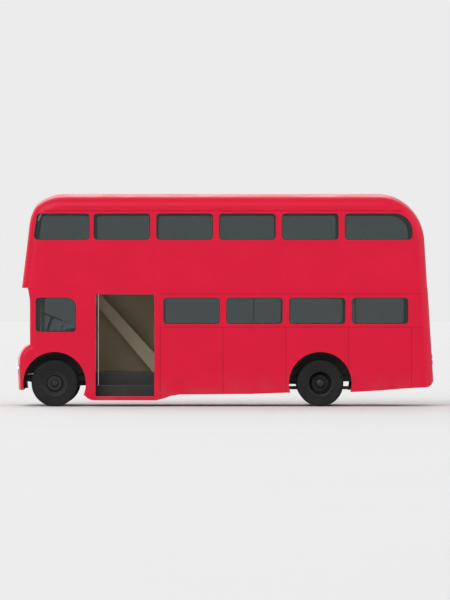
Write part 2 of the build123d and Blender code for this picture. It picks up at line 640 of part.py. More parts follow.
lower_rear_full = lower_shell & block(THROUGH, (REAR_JOINT_Y, FAR), (0, WAIST_Z))
lower_rear_full = lower_rear_full - side_plate(skirt(SKIRT_PLAIN), *THROUGH)
for face in front_faces(REAR_LIGHTS):
    lower_rear_full = lower_rear_full - front_plate(face, *BEHIND)
rear_door_prism = front_plate(framed(REAR_DOOR, 0, DOOR_RADIUS), *BEHIND)
rear_door_hole = front_plate(framed(REAR_DOOR, DOOR_GAP, DOOR_RADIUS + 4), *BEHIND)
rear_glass_prism = front_plate(framed(REAR_DOOR_GLASS, 0, REAR_GLASS_RADIUS), *BEHIND)
rear_door = (lower_rear_full & rear_door_prism) - rear_glass_prism
lower_rear = lower_rear_full - rear_door_hole
rear_door_glass = lower_sheet & rear_glass_prism
rear_door_hinge = (REAR_DOOR[0] - DOOR_GAP / 2, rear_y(REAR_HINGE_Z) + 6, REAR_HINGE_Z)
lower_rear, rear_door = hinged(lower_rear, rear_door, rear_door_hinge, REAR_UP, REAR_HINGES)

cab_front = lower_shell & block(THROUGH, (-FAR, PILLAR_Y), (CAB_SILL_Z, WAIST_Z))
for face in front_faces(WINDSCREENS):
    cab_front = cab_front - front_plate(face, *AHEAD)

nose = nose_outer - nose_inner - block(THROUGH, (-FAR, PILLAR_Y), (0, NOSE_BOTTOM_Z))
nose = nose - (block(THROUGH, (CAB_FACE_Y - 2 * WALL, 0), (CAB_SILL_Z, FAR)) & lower_outer)
nose = nose - arch(FRONT_AXLE_Y, ARCH_RADIUS, THROUGH)
nose = nose - front_plate(front_faces([GRILLE])[0], *NOSE_FRONT)
for x in (-LAMP_X, LAMP_X):
    nose = nose - rod((x, -FAR, LAMP_Z), (x, NOSE_FRONT[1], LAMP_Z), LAMP_RADIUS)

# Grille and lamps
grille_sheet = nose_form(GRILLE_DEPTH[0]) - nose_form(GRILLE_DEPTH[1])
grille_sheet = grille_sheet & front_plate(front_faces([GRILLE])[0], *NOSE_FRONT)
grille = grille_sheet - front_plate(framed(GRILLE[:4], -GRILLE_FRAME, GRILLE_FRAME - 5), *NOSE_FRONT)
for i in range(GRILLE_BARS):
    x = GRILLE[0] + (i + 1.5) * BAR_PITCH
    bar_z = (GRILLE[2] + GRILLE_FRAME - 5, GRILLE[3] - GRILLE_FRAME + 5)
    grille = grille + (grille_sheet & block((x - BAR_WIDTH / 2, x + BAR_WIDTH / 2), NOSE_FRONT, bar_z))

headlamps = []
for x in (-LAMP_X, LAMP_X):
    bowl = rod((x, LAMP_Y[0], LAMP_Z), (x, LAMP_Y[1], LAMP_Z), LAMP_RADIUS)
    bowl = bowl - rod((x, -FAR, LAMP_Z), (x, LAMP_Y[1] - LAMP_BACK, LAMP_Z), LAMP_RADIUS - LAMP_WALL)
    headlamps.append(bowl)
    headlamps.append(rod((x, LENS_Y[0], LAMP_Z), (x, LENS_Y[1], LAMP_Z), LAMP_RADIUS - LAMP_WALL))

side_glass = []
for prism in upper_side_prisms:
    side_glass.append(upper_sheet & prism)
for prism in lower_side_prisms:
    side_glass.append(lower_sheet & prism)
side_glass.append(lower_sheet & cab_prism)
front_glass = [lower_sheet & front_plate(f, *AHEAD) for f in front_faces(WINDSCREENS)]
front_glass += [upper_sheet & p for p in upper_front_prisms]
front_glass += [lower_sheet & front_plate(f, *BEHIND) for f in front_faces(REAR_LIGHTS)]

# Floors
upper_floor = upper_inner & block(THROUGH, THROUGH, (WAIST_Z, UPPER_FLOOR_Z))
upper_floor = upper_floor - block((-FAR, STAIR_X[1] + 8), STAIRWELL_Y, (WAIST_Z - WALL, FAR))


def arch_liner(axle_y, inner_x, side):
    """The curved liner over a wheel and the upright cheek at its inner end, for one side."""
    outer, inner = ARCH_RADIUS + LINER, ARCH_RADIUS
    x = ordered(side * inner_x, side * INNER)
    ring = arch(axle_y, outer, x) - arch(axle_y, inner, x)
    return ring, arch(axle_y, outer, ordered(side * inner_x, side * (inner_x - LINER)))


slab_z = (FLOOR_Z - FLOOR_THICKNESS, FLOOR_Z)
front_slab = block((-INNER, WELL_X), (BULKHEAD_Y[1], WELL_REAR_Y), slab_z)
rear_slab = lower_inner & block(THROUGH, (WELL_REAR_Y, FAR), slab_z)
liners = []
for side in (1, -1):
    rear_slab = rear_slab - arch(REAR_AXLE_Y, ARCH_RADIUS, ordered(side * REAR_LINER_X, side * INNER))
    for piece in arch_liner(REAR_AXLE_Y, REAR_LINER_X, side):
        liners.append(piece & block(THROUGH, THROUGH, (slab_z[0], FAR)))
rear_slab = rear_slab + liners
well_y = (BULKHEAD_Y[1], WELL_REAR_Y)
step_under, well_under = STEP_Z - STEP_THICKNESS, DOOR_Z[0] - FLOOR_THICKNESS
riser = (STEP_X - RISER, STEP_X)
platform = block((STEP_X, INNER), well_y, (well_under, DOOR_Z[0]))
pivots = [(LEAF_PIVOT_X, DOOR_Y[0] - LEAF_PIVOT_SETBACK), (LEAF_PIVOT_X, DOOR_Y[1] + LEAF_PIVOT_SETBACK)]
for x, y in pivots:
    platform = platform - rod((x, y, DOOR_Z[0] - 20), (x, y, DOOR_Z[0] + 5), LEAF_POST_RADIUS + RUNNING)
lower_floor = [
    rear_slab,
    front_slab,
    platform,
    block(riser, well_y, (well_under, STEP_Z)),
    block((WELL_X, riser[0]), well_y, (step_under, STEP_Z)),
    block((WELL_X, WELL_X + RISER), well_y, (STEP_Z, FLOOR_Z)),
    block((WELL_X, INNER), (WELL_REAR_Y, WELL_REAR_Y + WELL_WALL), (well_under, slab_z[0])),
]

# Cab floor with the front wheel arches' liners
cab_slab_z = (CAB_FLOOR_Z - FLOOR_THICKNESS, CAB_FLOOR_Z)
cab_floor = lower_inner & block(THROUGH, (-FAR, BULKHEAD_Y[0]), cab_slab_z)
inside_front = lower_inner + (nose_inner & block(THROUGH, (-FAR, PILLAR_Y), (0, FAR)))
for side in (1, -1):
    ring, cheek = arch_liner(FRONT_AXLE_Y, FRONT_LINER_X, side)
    cab_floor = cab_floor + (ring & block(THROUGH, THROUGH, (RING_FOOT_Z, cab_slab_z[0] + 5)) & inside_front)
    cab_floor = cab_floor + (cheek & block(THROUGH, THROUGH, (CHEEK_FOOT_Z, cab_slab_z[0] + 5)))

# Bulkhead between cab and saloon
partition = block((-INNER, INNER), BULKHEAD_Y, (slab_z[0], WAIST_Z))
partition = partition + block((WELL_X, INNER), BULKHEAD_Y, (well_under - 2, FLOOR_Z))
bulkhead_lights = front_faces(BULKHEAD_LIGHTS)
for face in bulkhead_lights:
    partition = partition - front_plate(face, *THROUGH)
front_glass += [front_plate(face, *BULKHEAD_GLASS_Y) for face in bulkhead_lights]

# Staircase: treads, risers, strings and the guard round the stairwell
step_rise = (UPPER_FLOOR_Z - FLOOR_Z) / (TREADS + 1)
between = (STAIR_X[0] + STRING_WIDTH, STAIR_X[1] - STRING_WIDTH)
staircase = []
for i in range(TREADS):
    y, z = STAIR_FOOT_Y - i * TREAD_DEPTH, FLOOR_Z + (i + 1) * step_rise
    back = y - TREAD_DEPTH - (STAIR_RISER if i < TREADS - 1 else 0)
    staircase.append(block(between, (back, y + NOSING if i else y), (z - STEP_THICKNESS, z)))
    staircase.append(block(between, (y - STAIR_RISER, y), (z - step_rise, z - STEP_THICKNESS)))
for x in (STAIR_X[0], between[1]):
    staircase.append(side_plate(polygon(STRING_OUTLINE), x, x + STRING_WIDTH))
guard_x = (STAIR_X[1] + 8, STAIR_X[1] + 8 + STAIR_RISER)
guard_end = STAIRWELL_Y[1] + STAIR_RISER
staircase.append(block(guard_x, (STAIRWELL_Y[0], guard_end), (UPPER_FLOOR_Z, GUARD_Z)))
staircase.append(block((between[0], guard_x[0]), (STAIRWELL_Y[1], guard_end), (UPPER_FLOOR_Z, GUARD_Z)))

# Door gear: the cover over the doorway that holds the leaves' top pivots
door_gear = block((GEAR_X, INNER), (BULKHEAD_Y[1] + 3, WELL_REAR_Y - 2), (LEAF_Z[1] + 6, WAIST_Z - 4))
for x, y in pivots:
    door_gear = door_gear - rod((x, y, LEAF_Z[1]), (x, y, LEAF_Z[1] + 30), LEAF_POST_RADIUS + RUNNING)


def leaf_solid(y_low, y_high, round_low):
    """One door leaf, closed, with its first upright edge rounded where asked."""
    z0, z1 = LEAF_Z
    x = (LEAF_PIVOT_X - LEAF_HALF, LEAF_PIVOT_X + LEAF_HALF)
    if not round_low:
        return block(x, (y_low, y_high), (z0, z1))
    y = y_low + LEAF_HALF
    return block(x, (y, y_high), (z0, z1)) + rod((LEAF_PIVOT_X, y, z0), (LEAF_PIVOT_X, y, z1), LEAF_HALF)


def leaf_panes(y_low, y_high):
    """Outlines of a leaf's lower and upper panes."""
    return [rounded((y_low, z0), (y_high, z1), LEAF_PANE_RADIUS) for z0, z1 in LEAF_PANES_Z]


def door_pair(pivot_y, to_rear):
    """A folding pair, closed: its two leaves, their glass, the post pivot and the hinge line."""
    length = LEAF_LENGTH
    near = leaf_solid(pivot_y - LEAF_HALF, pivot_y + length - 3, True)
    far = leaf_solid(pivot_y + length + 3, pivot_y + 2 * length, False)
    near_faces = leaf_panes(pivot_y + 40, pivot_y + length - 45)
    far_faces = leaf_panes(pivot_y + length + 45, pivot_y + 2 * length - 40)
    x = LEAF_PIVOT_X
    for face in near_faces:
        near = near - side_plate(face, *NEAR_SIDE)
    for face in far_faces:
        far = far - side_plate(face, *NEAR_SIDE)
    near_glass = [side_plate(face, x - LEAF_GLASS_HALF, x + LEAF_GLASS_HALF) for face in near_faces]
    far_glass = [side_plate(face, x - LEAF_GLASS_HALF, x + LEAF_GLASS_HALF) for face in far_faces]
    near = near + rod((x, pivot_y, DOOR_Z[0] - 12), (x, pivot_y, LEAF_Z[0] + 5), LEAF_POST_RADIUS)
    near = near + rod((x, pivot_y, LEAF_Z[1] - 5), (x, pivot_y, LEAF_Z[1] + 24), LEAF_POST_RADIUS)
    hinge = (x + LEAF_PIN_OFFSET, pivot_y + length, 0)
    near, far = hinged(near, far, hinge, (0, 0, 1), LEAF_HINGES, radius=6.0, pin=3.0)
    shapes = [near, far, solids_of(*near_glass), solids_of(*far_glass)]
    if not to_rear:
        shapes = [s.mirror(Plane.XZ.offset(-pivot_y)) for s in shapes]
    sign = 1 if to_rear else -1
    post = Axis((x, pivot_y, 0), (0, 0, 1))
    pin = Axis((x + LEAF_PIN_OFFSET, pivot_y + sign * length, 0), (0, 0, 1))
    turned = []
    for i, shape in enumerate(shapes):
        if i % 2:
            shape = shape.rotate(pin, -2 * sign * LEAF_OPEN)
        turned.append(shape.rotate(post, sign * LEAF_OPEN))
    return turned


front_pair = door_pair(pivots[0][1], True)
rear_pair = door_pair(pivots[1][1], False)

# Handrails at the entrance and on the stairs
handrails = [rod((x, y, z), (x, y, WAIST_Z), HANDRAIL_RADIUS) for x, y, z in HANDRAILS]


# Seats
def squab(x, y, z):
    """Backrest of a seat that faces the front, reclined a little."""
    foot, top = z + SEAT_Z - SQUAB_DROP, z + SEAT_BACK_Z
    corners = [(SQUAB_FRONT, foot), (SQUAB_BACK, foot), (SQUAB_TOP, top), (SQUAB_BACK, top)]
    return side_plate(polygon([(y + along, height) for along, height in corners]), *x)


def seat(x, y, z):
    """A forward-facing seat as its cushions and the touching pieces of its frame."""
    pan_z = z + SEAT_Z - CUSHION_DEPTH
    front, rear = y - ROW_DEPTH / 2, y + ROW_DEPTH / 2
    cushion = block(x, (front, rear - 50), (pan_z, z + SEAT_Z))
    back, top = y + SQUAB_BACK - (CUSHION_DEPTH - SQUAB_DROP) * SQUAB_LEAN, y + SQUAB_TOP
    shell_z = z + SEAT_BACK_Z
    shell = polygon([(back, pan_z), (back + SHELL, pan_z), (top + SHELL, shell_z), (top, shell_z)])
    pan = block(x, (front + 20, y + SQUAB_BACK + SHELL), (pan_z - PAN, pan_z))
    legs = [block((leg, leg + LEG_WIDTH), (y - LEG_DEPTH / 2, y + LEG_DEPTH / 2), (z, pan_z - PAN))
            for leg in (x[0] + LEG_INSET, x[1] - LEG_INSET - LEG_WIDTH)]
    return [cushion, squab(x, y, z)], [side_plate(shell, *x), pan] + legs


rows = [(side, y, FLOOR_Z) for y in LOWER_ROWS for side in (-1, 1)]
rows += [(1, y, UPPER_FLOOR_Z) for y in UPPER_ROWS]
rows += [(-1, y, UPPER_FLOOR_Z) for y in UPPER_ROWS if not STAIRWELL_Y[0] - 350 < y < STAIRWELL_Y[1] + 250]
seats = [seat(ordered(side * SEAT_X[0], side * SEAT_X[1]), y, z) for side, y, z in rows]
seats.append(seat(REAR_BENCH_X, REAR_BENCH_Y, UPPER_FLOOR_Z))
cushions = [piece for soft, frame in seats for piece in soft]
frames = [piece for soft, frame in seats for piece in frame]
for side in (-1, 1):
    for pieces, x, low, high in BENCH:
        x = ordered(side * x[0], side * x[1])
        target = cushions if pieces == "soft" else frames
        target.append(block(x, BENCH_Y, (WHEEL_BOX_TOP + low, WHEEL_BOX_TOP + high)))
for pieces, x, y, low, high in DRIVER_SEAT:
    target = cushions if pieces == "soft" else frames
    target.append(block(x, y, (CAB_FLOOR_Z + low, CAB_FLOOR_Z + high)))


# Chassis: channel rails raised over the rear axle, cross members between their webs, and outriggers
def rail(side):
    """One channel rail, open towards the middle."""
    (x0, x1), (z0, z1) = RAIL_X, RAIL_Z
    kick = (REAR_AXLE_Y - KICK_HALF, REAR_AXLE_Y + KICK_HALF)
    doubler = (kick[0] - DOUBLER, kick[1] + DOUBLER)
    rail = block(RAIL_X, RAIL_Y, RAIL_Z)
    rail = rail - block((x0 - 1, x1 - RAIL_WALL), THROUGH, (z0 + RAIL_WALL, z1 - RAIL_WALL))
    rail = rail - block((x0 - 1, x1 + 1), kick, (0, KICK_Z))
    rail = rail + block((x1 - RAIL_WALL, x1), doubler, (KICK_Z, z1))
    return rail if side > 0 else rail.mirror(Plane.YZ)


web_x = RAIL_X[1] - RAIL_WALL
chassis_frame = [rail(1), rail(-1)]
chassis_frame += [block((-web_x, web_x), (y0, y1), (z0, z1)) for y0, y1, z0, z1 in CROSS_MEMBERS]
chassis_frame += [block((-END_BEAM_X, END_BEAM_X), y, END_BEAM_Z) for y in END_BEAM_Y]
for y in OUTRIGGERS:
    for side in (1, -1):
        if side < 0 or y > WELL_REAR_Y:
            arm_x = ordered(side * RAIL_X[1], side * OUTRIGGER_X)
            chassis_frame.append(block(arm_x, (y - OUTRIGGER_HALF, y + OUTRIGGER_HALF), OUTRIGGER_Z))

# Power unit: engine, gearbox, radiator and fan
engine = [block(x, y, z) for x, y, z in ENGINE_BLOCKS]
engine += [rod((0, y0, z), (0, y1, z), radius) for y0, y1, z, radius in ENGINE_ROUNDS]
radiator = block(*RADIATOR)
fan_y0, fan_y1, fan_z, fan_radius = FAN_HUB
fan = rod((0, fan_y0, fan_z), (0, fan_y1, fan_z), fan_radius)
for angle in FAN_ANGLES:
    fan = fan + Pos(0, fan_y0 + FAN_BLADE[1] / 2, fan_z) * Rot(0, angle, 0) * Box(*FAN_BLADE)

fuel_tank = block(*TANK)
fuel_tank = fillet(fuel_tank.edges().filter_by(Axis.Y), TANK_RADIUS)
tank_straps = [block(STRAP_X, (y, y + STRAP_WIDTH), STRAP_Z) for y in STRAP_Y]
exhaust = [rod(*SILENCER, SILENCER_RADIUS)]
for route in (EXHAUST_FRONT, EXHAUST_REAR):
    line = FilletPolyline(*route, radius=EXHAUST_BEND)
    exhaust.append(sweep(Plane(line @ 0, z_dir=line % 0) * Circle(EXHAUST_RADIUS), line))

# Axles, springs and the propeller shaft
front_axle = block((-BEAM_X, BEAM_X), (FRONT_AXLE_Y - BEAM_HALF, FRONT_AXLE_Y + BEAM_HALF), BEAM_Z)
for side in (-1, 1):
    x, y = side * KINGPIN_X, FRONT_AXLE_Y
    neck = ordered(side * (BEAM_X - 10), side * (KINGPIN_X - 30))
    front_axle = front_axle + rod((x, y, BOSS_Z[0]), (x, y, BOSS_Z[1]), BOSS_RADIUS)
    front_axle = front_axle + block(neck, (y - NECK_HALF, y + NECK_HALF), (BOSS_Z[0], BOSS_Z[1] - 25))
for side in (-1, 1):
    x, y = side * KINGPIN_X, FRONT_AXLE_Y
    front_axle = front_axle - rod((x, y, 0), (x, y, FAR), KINGPIN_RADIUS + RUNNING)

rear_axle = Part()
y, z = REAR_AXLE_Y, WHEEL_RADIUS
for back, front, radius in DIFFERENTIAL:
    rear_axle = rear_axle + rod((0, y + back, z), (0, y + front, z), radius)
for reach, radius in AXLE_TUBES:
    rear_axle = rear_axle + rod((-reach, y, z), (reach, y, z), radius)
shaft_y = (ENGINE_ROUNDS[1][1] + 1, REAR_AXLE_Y + DIFFERENTIAL[1][0] - 1)
propeller_shaft = rod((0, shaft_y[0], ENGINE_ROUNDS[1][2]), (0, shaft_y[1], WHEEL_RADIUS), SHAFT_RADIUS)


def leaf_spring(side, x, y, top, half, leaves, thickness, camber):
    """A stack of curved leaves, longest on top, between two hangers."""
    x0, x1 = x if side > 0 else (-x[1], -x[0])
    parts = []
    for i in range(leaves):
        reach = half * (1 - LEAF_STEP * i)
        middle = top - i * thickness
        end = middle + camber * (reach / half) ** 2
        over = ThreePointArc((y - reach, end), (y, middle), (y + reach, end))
        end, middle = end - thickness, middle - thickness
        under = ThreePointArc((y + reach, end), (y, middle), (y - reach, end))
        face = make_face([over, Line(over @ 1, under @ 0), under, Line(under @ 1, over @ 0)])
        parts.append(side_plate(face, x0, x1))
    return Part() + parts


springs = [leaf_spring(side, **spring) for spring in (FRONT_SPRING, REAR_SPRING) for side in (-1, 1)]
for side in (-1, 1):
    for end in (-1, 1):
        x = ordered(side * RAIL_X[1], side * REAR_SPRING["x"][1])
        y = REAR_AXLE_Y + end * (REAR_SPRING["half"] + HANGER_HALF)
        springs.append(block(x, (y - HANGER_HALF, y + HANGER_HALF), HANGER_Z))

tow_eyes = []
for y, reach in TOW_EYES:
    end, root = y + reach, y + (END_BEAM_GRIP if reach > 0 else -END_BEAM_GRIP)
    tongue_x, tongue_z = (TOW_X - TOW_HALF, TOW_X + TOW_HALF), (TOW_Z, TOW_Z + TOW_THICKNESS)
    eye = block(tongue_x, ordered(y, end), tongue_z)
    eye = eye + rod((TOW_X, end, tongue_z[0]), (TOW_X, end, tongue_z[1]), TOW_RADIUS)
    eye = eye + block(tongue_x, ordered(y, root), (TOW_Z, END_BEAM_Z[0] + 40))
    tow_eyes.append(eye - rod((TOW_X, end, 0), (TOW_X, end, END_BEAM_Z[0]), TOW_BORE))

# Steering
def on_column(distance):
    """The point of the steering column's line that lies above the wheel's middle by a distance."""
    return tuple(Vector(*WHEEL_CENTRE) + column_way * distance)


column_way = (Vector(*WHEEL_CENTRE) - Vector(*COLUMN_FOOT)).normalized()
column_length = (Vector(*WHEEL_CENTRE) - Vector(*COLUMN_FOOT)).length
wheel_plane = Plane(origin=WHEEL_CENTRE, z_dir=column_way)
steering_column = rod(on_column(18 - column_length), on_column(HUB_FOOT - 2), COLUMN_RADIUS)
steering_column = steering_column + Pos(*COLUMN_FOOT) * Pos(0, 0, COLUMN_PLATE[2] / 2) * Box(*COLUMN_PLATE)
steering_column = steering_column + rod(on_column(HUB_FOOT - 32), on_column(HUB_FOOT + 38), STUB_RADIUS)
rim = wheel_plane * Plane.XZ * Pos(STEERING_WHEEL_RADIUS, 0) * Circle(RIM_GRIP)
steering_wheel = revolve(rim, Axis(WHEEL_CENTRE, column_way), 360)
steering_wheel = steering_wheel + rod(on_column(HUB_FOOT), on_column(12), HUB_RADIUS)
for angle in SPOKE_ANGLES:
    spoke = Pos(STEERING_WHEEL_RADIUS / 2, 0, 0) * Box(STEERING_WHEEL_RADIUS, *SPOKE)
    steering_wheel = steering_wheel + wheel_plane * Rot(0, 0, angle) * spoke
stub_hole = rod(on_column(HUB_FOOT - 32), on_column(HUB_FOOT + 41), STUB_RADIUS + RUNNING)
steering_wheel = steering_wheel - stub_hole


def knuckle(side):
    """Stub axle that turns on its kingpin and carries a front wheel, with a steering arm under the beam."""
    x, y = side * KINGPIN_X, FRONT_AXLE_Y
    fork_z = [(FORK_Z[0], BOSS_Z[0] - FORK_GAP), (BOSS_Z[1] + FORK_GAP, FORK_Z[1])]
    plate_y = (y - FORK_RADIUS, y + FORK_RADIUS)
    body = rod((x, y, FORK_Z[0]), (x, y, FORK_Z[1]), KINGPIN_RADIUS)
    for low, high in fork_z:
        body = body + rod((x, y, low), (x, y, high), FORK_RADIUS)
        body = body + block(ordered(x, side * (KINGPIN_X + FORK_WEB[0] + 2)), plate_y, (low, high))
    web_x = ordered(side * (KINGPIN_X + FORK_WEB[0]), side * (KINGPIN_X + FORK_WEB[1]))
    body = body + block(web_x, plate_y, FORK_Z)
    start, end = side * (KINGPIN_X + FORK_WEB[1] - 10), side * (TYRE_X + STUB_REACH)
    body = body + rod((start, y, WHEEL_RADIUS), (end, y, WHEEL_RADIUS), STUB_AXLE_RADIUS)
    body = body + rod((x, y, ARM_Z[0]), (x, y, FORK_Z[0]), FORK_RADIUS)
    return body + block(ordered(side * (KINGPIN_X - 60), side * (KINGPIN_X + 10)), (y, y + ARM_LENGTH), ARM_Z)


def spun(face, centre_x, y, side):
    """Turns a section, drawn outward along +X, about the axle line."""
    body = revolve(Plane.XZ * face, Axis.X, 360)
    body = body if side > 0 else body.mirror(Plane.YZ)
    return Pos(centre_x, y, WHEEL_RADIUS) * body


tyre_face = polygon([(side * x, z) for side, x, z in [(-1, x, z) for x, z in TYRE_SECTION]
                     + [(1, x, z) for x, z in reversed(TYRE_SECTION)]])
tail_lamps = []
for x in (-TAIL_LAMP_X, TAIL_LAMP_X):
    for z in TAIL_LAMP_Z:
        lamp = rod((x, rear_y(z) - TAIL_LAMP_DEPTH, z), (x, rear_y(z), z), TAIL_LAMP_RADIUS)
        lower_rear = lower_rear - lamp
        tail_lamps.append(lamp)

export = {}


def node(name, *shapes):
    """Writes one named part."""
    shape = shapes[0] if len(shapes) == 1 and isinstance(shapes[0], Solid) else solids_of(*shapes)
    shape.label = name
    export_step(shape, f"parts/{name}.step")
    export[name] = shape


node("upper_front", upper_front)
node("upper_rear", upper_rear)
node("upper_side_left", upper_side_left)
node("upper_side_right", upper_side_right)
node("roof", roof)
node("rescue_window", rescue_window)
node("rescue_glass", rescue_glass)
node("lower_side_left", lower_side_left)
node("lower_side_right", lower_side_right)
node("driver_door", driver_door)
node("driver_door_glass", driver_glass)
node("lower_rear", lower_rear)
node("rear_door", rear_door)
node("rear_door_glass", rear_door_glass)
node("cab_front", cab_front)
node("nose", nose)
node("grille", grille)
node("headlamps", *headlamps)
node("side_glass", *side_glass)
node("front_glass", *front_glass)
node("lower_floor", *lower_floor)
node("upper_floor", upper_floor)
node("cab_floor", cab_floor)
node("partition", partition)
node("staircase", *staircase)
node("door_gear", door_gear)
for place, pair in (("front", front_pair), ("rear", rear_pair)):
    node(f"door_leaf_{place}_a", pair[0])
    node(f"door_leaf_{place}_b", pair[1])
    node(f"door_glass_{place}_a", pair[2])
    node(f"door_glass_{place}_b", pair[3])
node("handrails", *handrails)
node("seat_cushions", *cushions)
node("seat_frames", *frames)
node("chassis_frame", *chassis_frame)
node("engine", *engine, radiator, fan)
node("fuel_tank", fuel_tank, *tank_straps)
node("exhaust", *exhaust)
node("front_axle", front_axle)
node("rear_axle", rear_axle, propeller_shaft)
node("leaf_springs", *springs)
node("tow_eyes", *tow_eyes)
node("steering_column", steering_column)
node("steering_wheel", steering_wheel)
node("tail_lamps", *tail_lamps)
for word, side in (("left", 1), ("right", -1)):
    node(f"knuckle_{word}", knuckle(side))
    node(f"tyre_front_{word}", spun(tyre_face, side * TYRE_X, FRONT_AXLE_Y, side))
    node(f"wheel_front_{word}", spun(polygon(FRONT_WHEEL), side * TYRE_X, FRONT_AXLE_Y, side))
    twins = [spun(tyre_face, side * (TYRE_X - TWIN_PITCH * i), REAR_AXLE_Y, side) for i in (0, 1)]
    node(f"tyres_rear_{word}", *twins)
    wheels = [spun(polygon(part), side * TYRE_X, REAR_AXLE_Y, side) for part in (OUTER_WHEEL, INNER_WHEEL)]
    node(f"wheels_rear_{word}", *wheels)

for name, shape in export.items():
    b = shape.bounding_box()
    print(name, len(shape.solids()), shape.is_valid, round(shape.volume / 1e6, 2),
          [round(v) for v in (b.min.X, b.min.Y, b.min.Z, b.max.X, b.max.Y, b.max.Z)])
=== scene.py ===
"""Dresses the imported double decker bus: finishes for every piece, window seals, tyres, seats, lamps and a studio."""

import json
import logging
import math
from dataclasses import dataclass, field
from enum import Enum
from functools import cached_property

import bpy
import numpy as np
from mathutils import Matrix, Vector

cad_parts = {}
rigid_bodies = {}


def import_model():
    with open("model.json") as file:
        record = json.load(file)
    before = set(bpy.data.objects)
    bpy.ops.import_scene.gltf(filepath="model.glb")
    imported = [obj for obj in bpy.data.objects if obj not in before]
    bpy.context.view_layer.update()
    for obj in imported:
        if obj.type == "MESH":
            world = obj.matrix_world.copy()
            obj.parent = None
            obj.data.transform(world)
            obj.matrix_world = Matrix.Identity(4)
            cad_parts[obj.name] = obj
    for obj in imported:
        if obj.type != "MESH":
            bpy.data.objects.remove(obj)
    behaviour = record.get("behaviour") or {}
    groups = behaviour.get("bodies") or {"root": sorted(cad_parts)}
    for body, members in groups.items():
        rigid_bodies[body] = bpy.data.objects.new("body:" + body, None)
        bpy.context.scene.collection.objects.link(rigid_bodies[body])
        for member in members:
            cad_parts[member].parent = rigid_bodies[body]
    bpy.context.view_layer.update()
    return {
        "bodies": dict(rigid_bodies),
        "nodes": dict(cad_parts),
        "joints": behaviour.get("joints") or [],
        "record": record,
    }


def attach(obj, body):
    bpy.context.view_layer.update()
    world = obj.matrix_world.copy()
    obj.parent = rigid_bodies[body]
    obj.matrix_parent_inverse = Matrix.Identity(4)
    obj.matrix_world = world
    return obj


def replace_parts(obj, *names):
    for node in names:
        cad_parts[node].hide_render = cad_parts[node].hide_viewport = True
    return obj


LOG = logging.getLogger("bus")

# Driving sizes of the body, in metres
ROOF_Z = 4.370
HALF_WIDTH = 1.220
WAIST_Z = 2.427
BAY = 1.284
FRONT_AXLE_Y = -3.480
REAR_AXLE_Y = 1.953
AXLE_Z = 0.475
WHEEL_X = 1.045
TWIN_X = 0.757
UPPER_FRONT_Y = -4.168
FRONT_RAKE = 0.1223
FRONT_DOME_Z = 3.828
FRONT_DOME_RADIUS = 0.750
REAR_FACE_Y = 4.252
REAR_FACE_Z = 0.845
REAR_RAKE = 0.0618
REAR_DOME_RADIUS = 0.950
CAMBER_RADIUS = 6.500
CAMBER_Z = ROOF_Z - CAMBER_RADIUS
UPPER_LEAN = 0.0244
UPPER_EDGE_RADIUS = 0.230
CAB_FACE_Y = -3.986
CAB_CURVE_Z = 2.050
CAB_LIP_RADIUS = 1.475
FRONT_EDGE_RADIUS = 0.115
FLOOR_Z = 0.680
UPPER_FLOOR_Z = 2.477
CAB_FLOOR_Z = 1.165
WALL = 0.050
SIDES = (("left", 1.0), ("right", -1.0))

# Linear colours that several finishes share
RED = (0.640, 0.002, 0.032)
CREAM = (0.62, 0.53, 0.36)
SOOT = (0.018, 0.017, 0.016)
ROAD_DUST = (0.21, 0.175, 0.135)
JOINT = (0.02, 0.001, 0.002)

Array = np.ndarray
Point = tuple[float, float, float]
Pair = tuple[float, float]
Profile = tuple[Pair, ...] | Array
Piece = bpy.types.Object
Material = bpy.types.Material
Tree = bpy.types.NodeTree
Node = bpy.types.Node
Socket = bpy.types.NodeSocket


class Deck(Enum):
    """Which skin of the body a thing lies on."""

    UPPER_SIDE = "upper side"
    LOWER_SIDE = "lower side"
    UPPER_FRONT = "upper front"
    CAB_FRONT = "cab front"
    LOWER_REAR = "lower rear"
    UPPER_REAR = "upper rear"


def unit(rows: Array) -> Array:
    """Vectors divided by their lengths."""
    return rows / np.linalg.norm(rows, axis=-1, keepdims=True)


def circle(steps: int) -> Array:
    """Columns of cosine and sine at equal turns round a circle."""
    turn = np.linspace(0, 2 * np.pi, steps, endpoint=False)
    return np.stack([np.cos(turn), np.sin(turn)], axis=1)


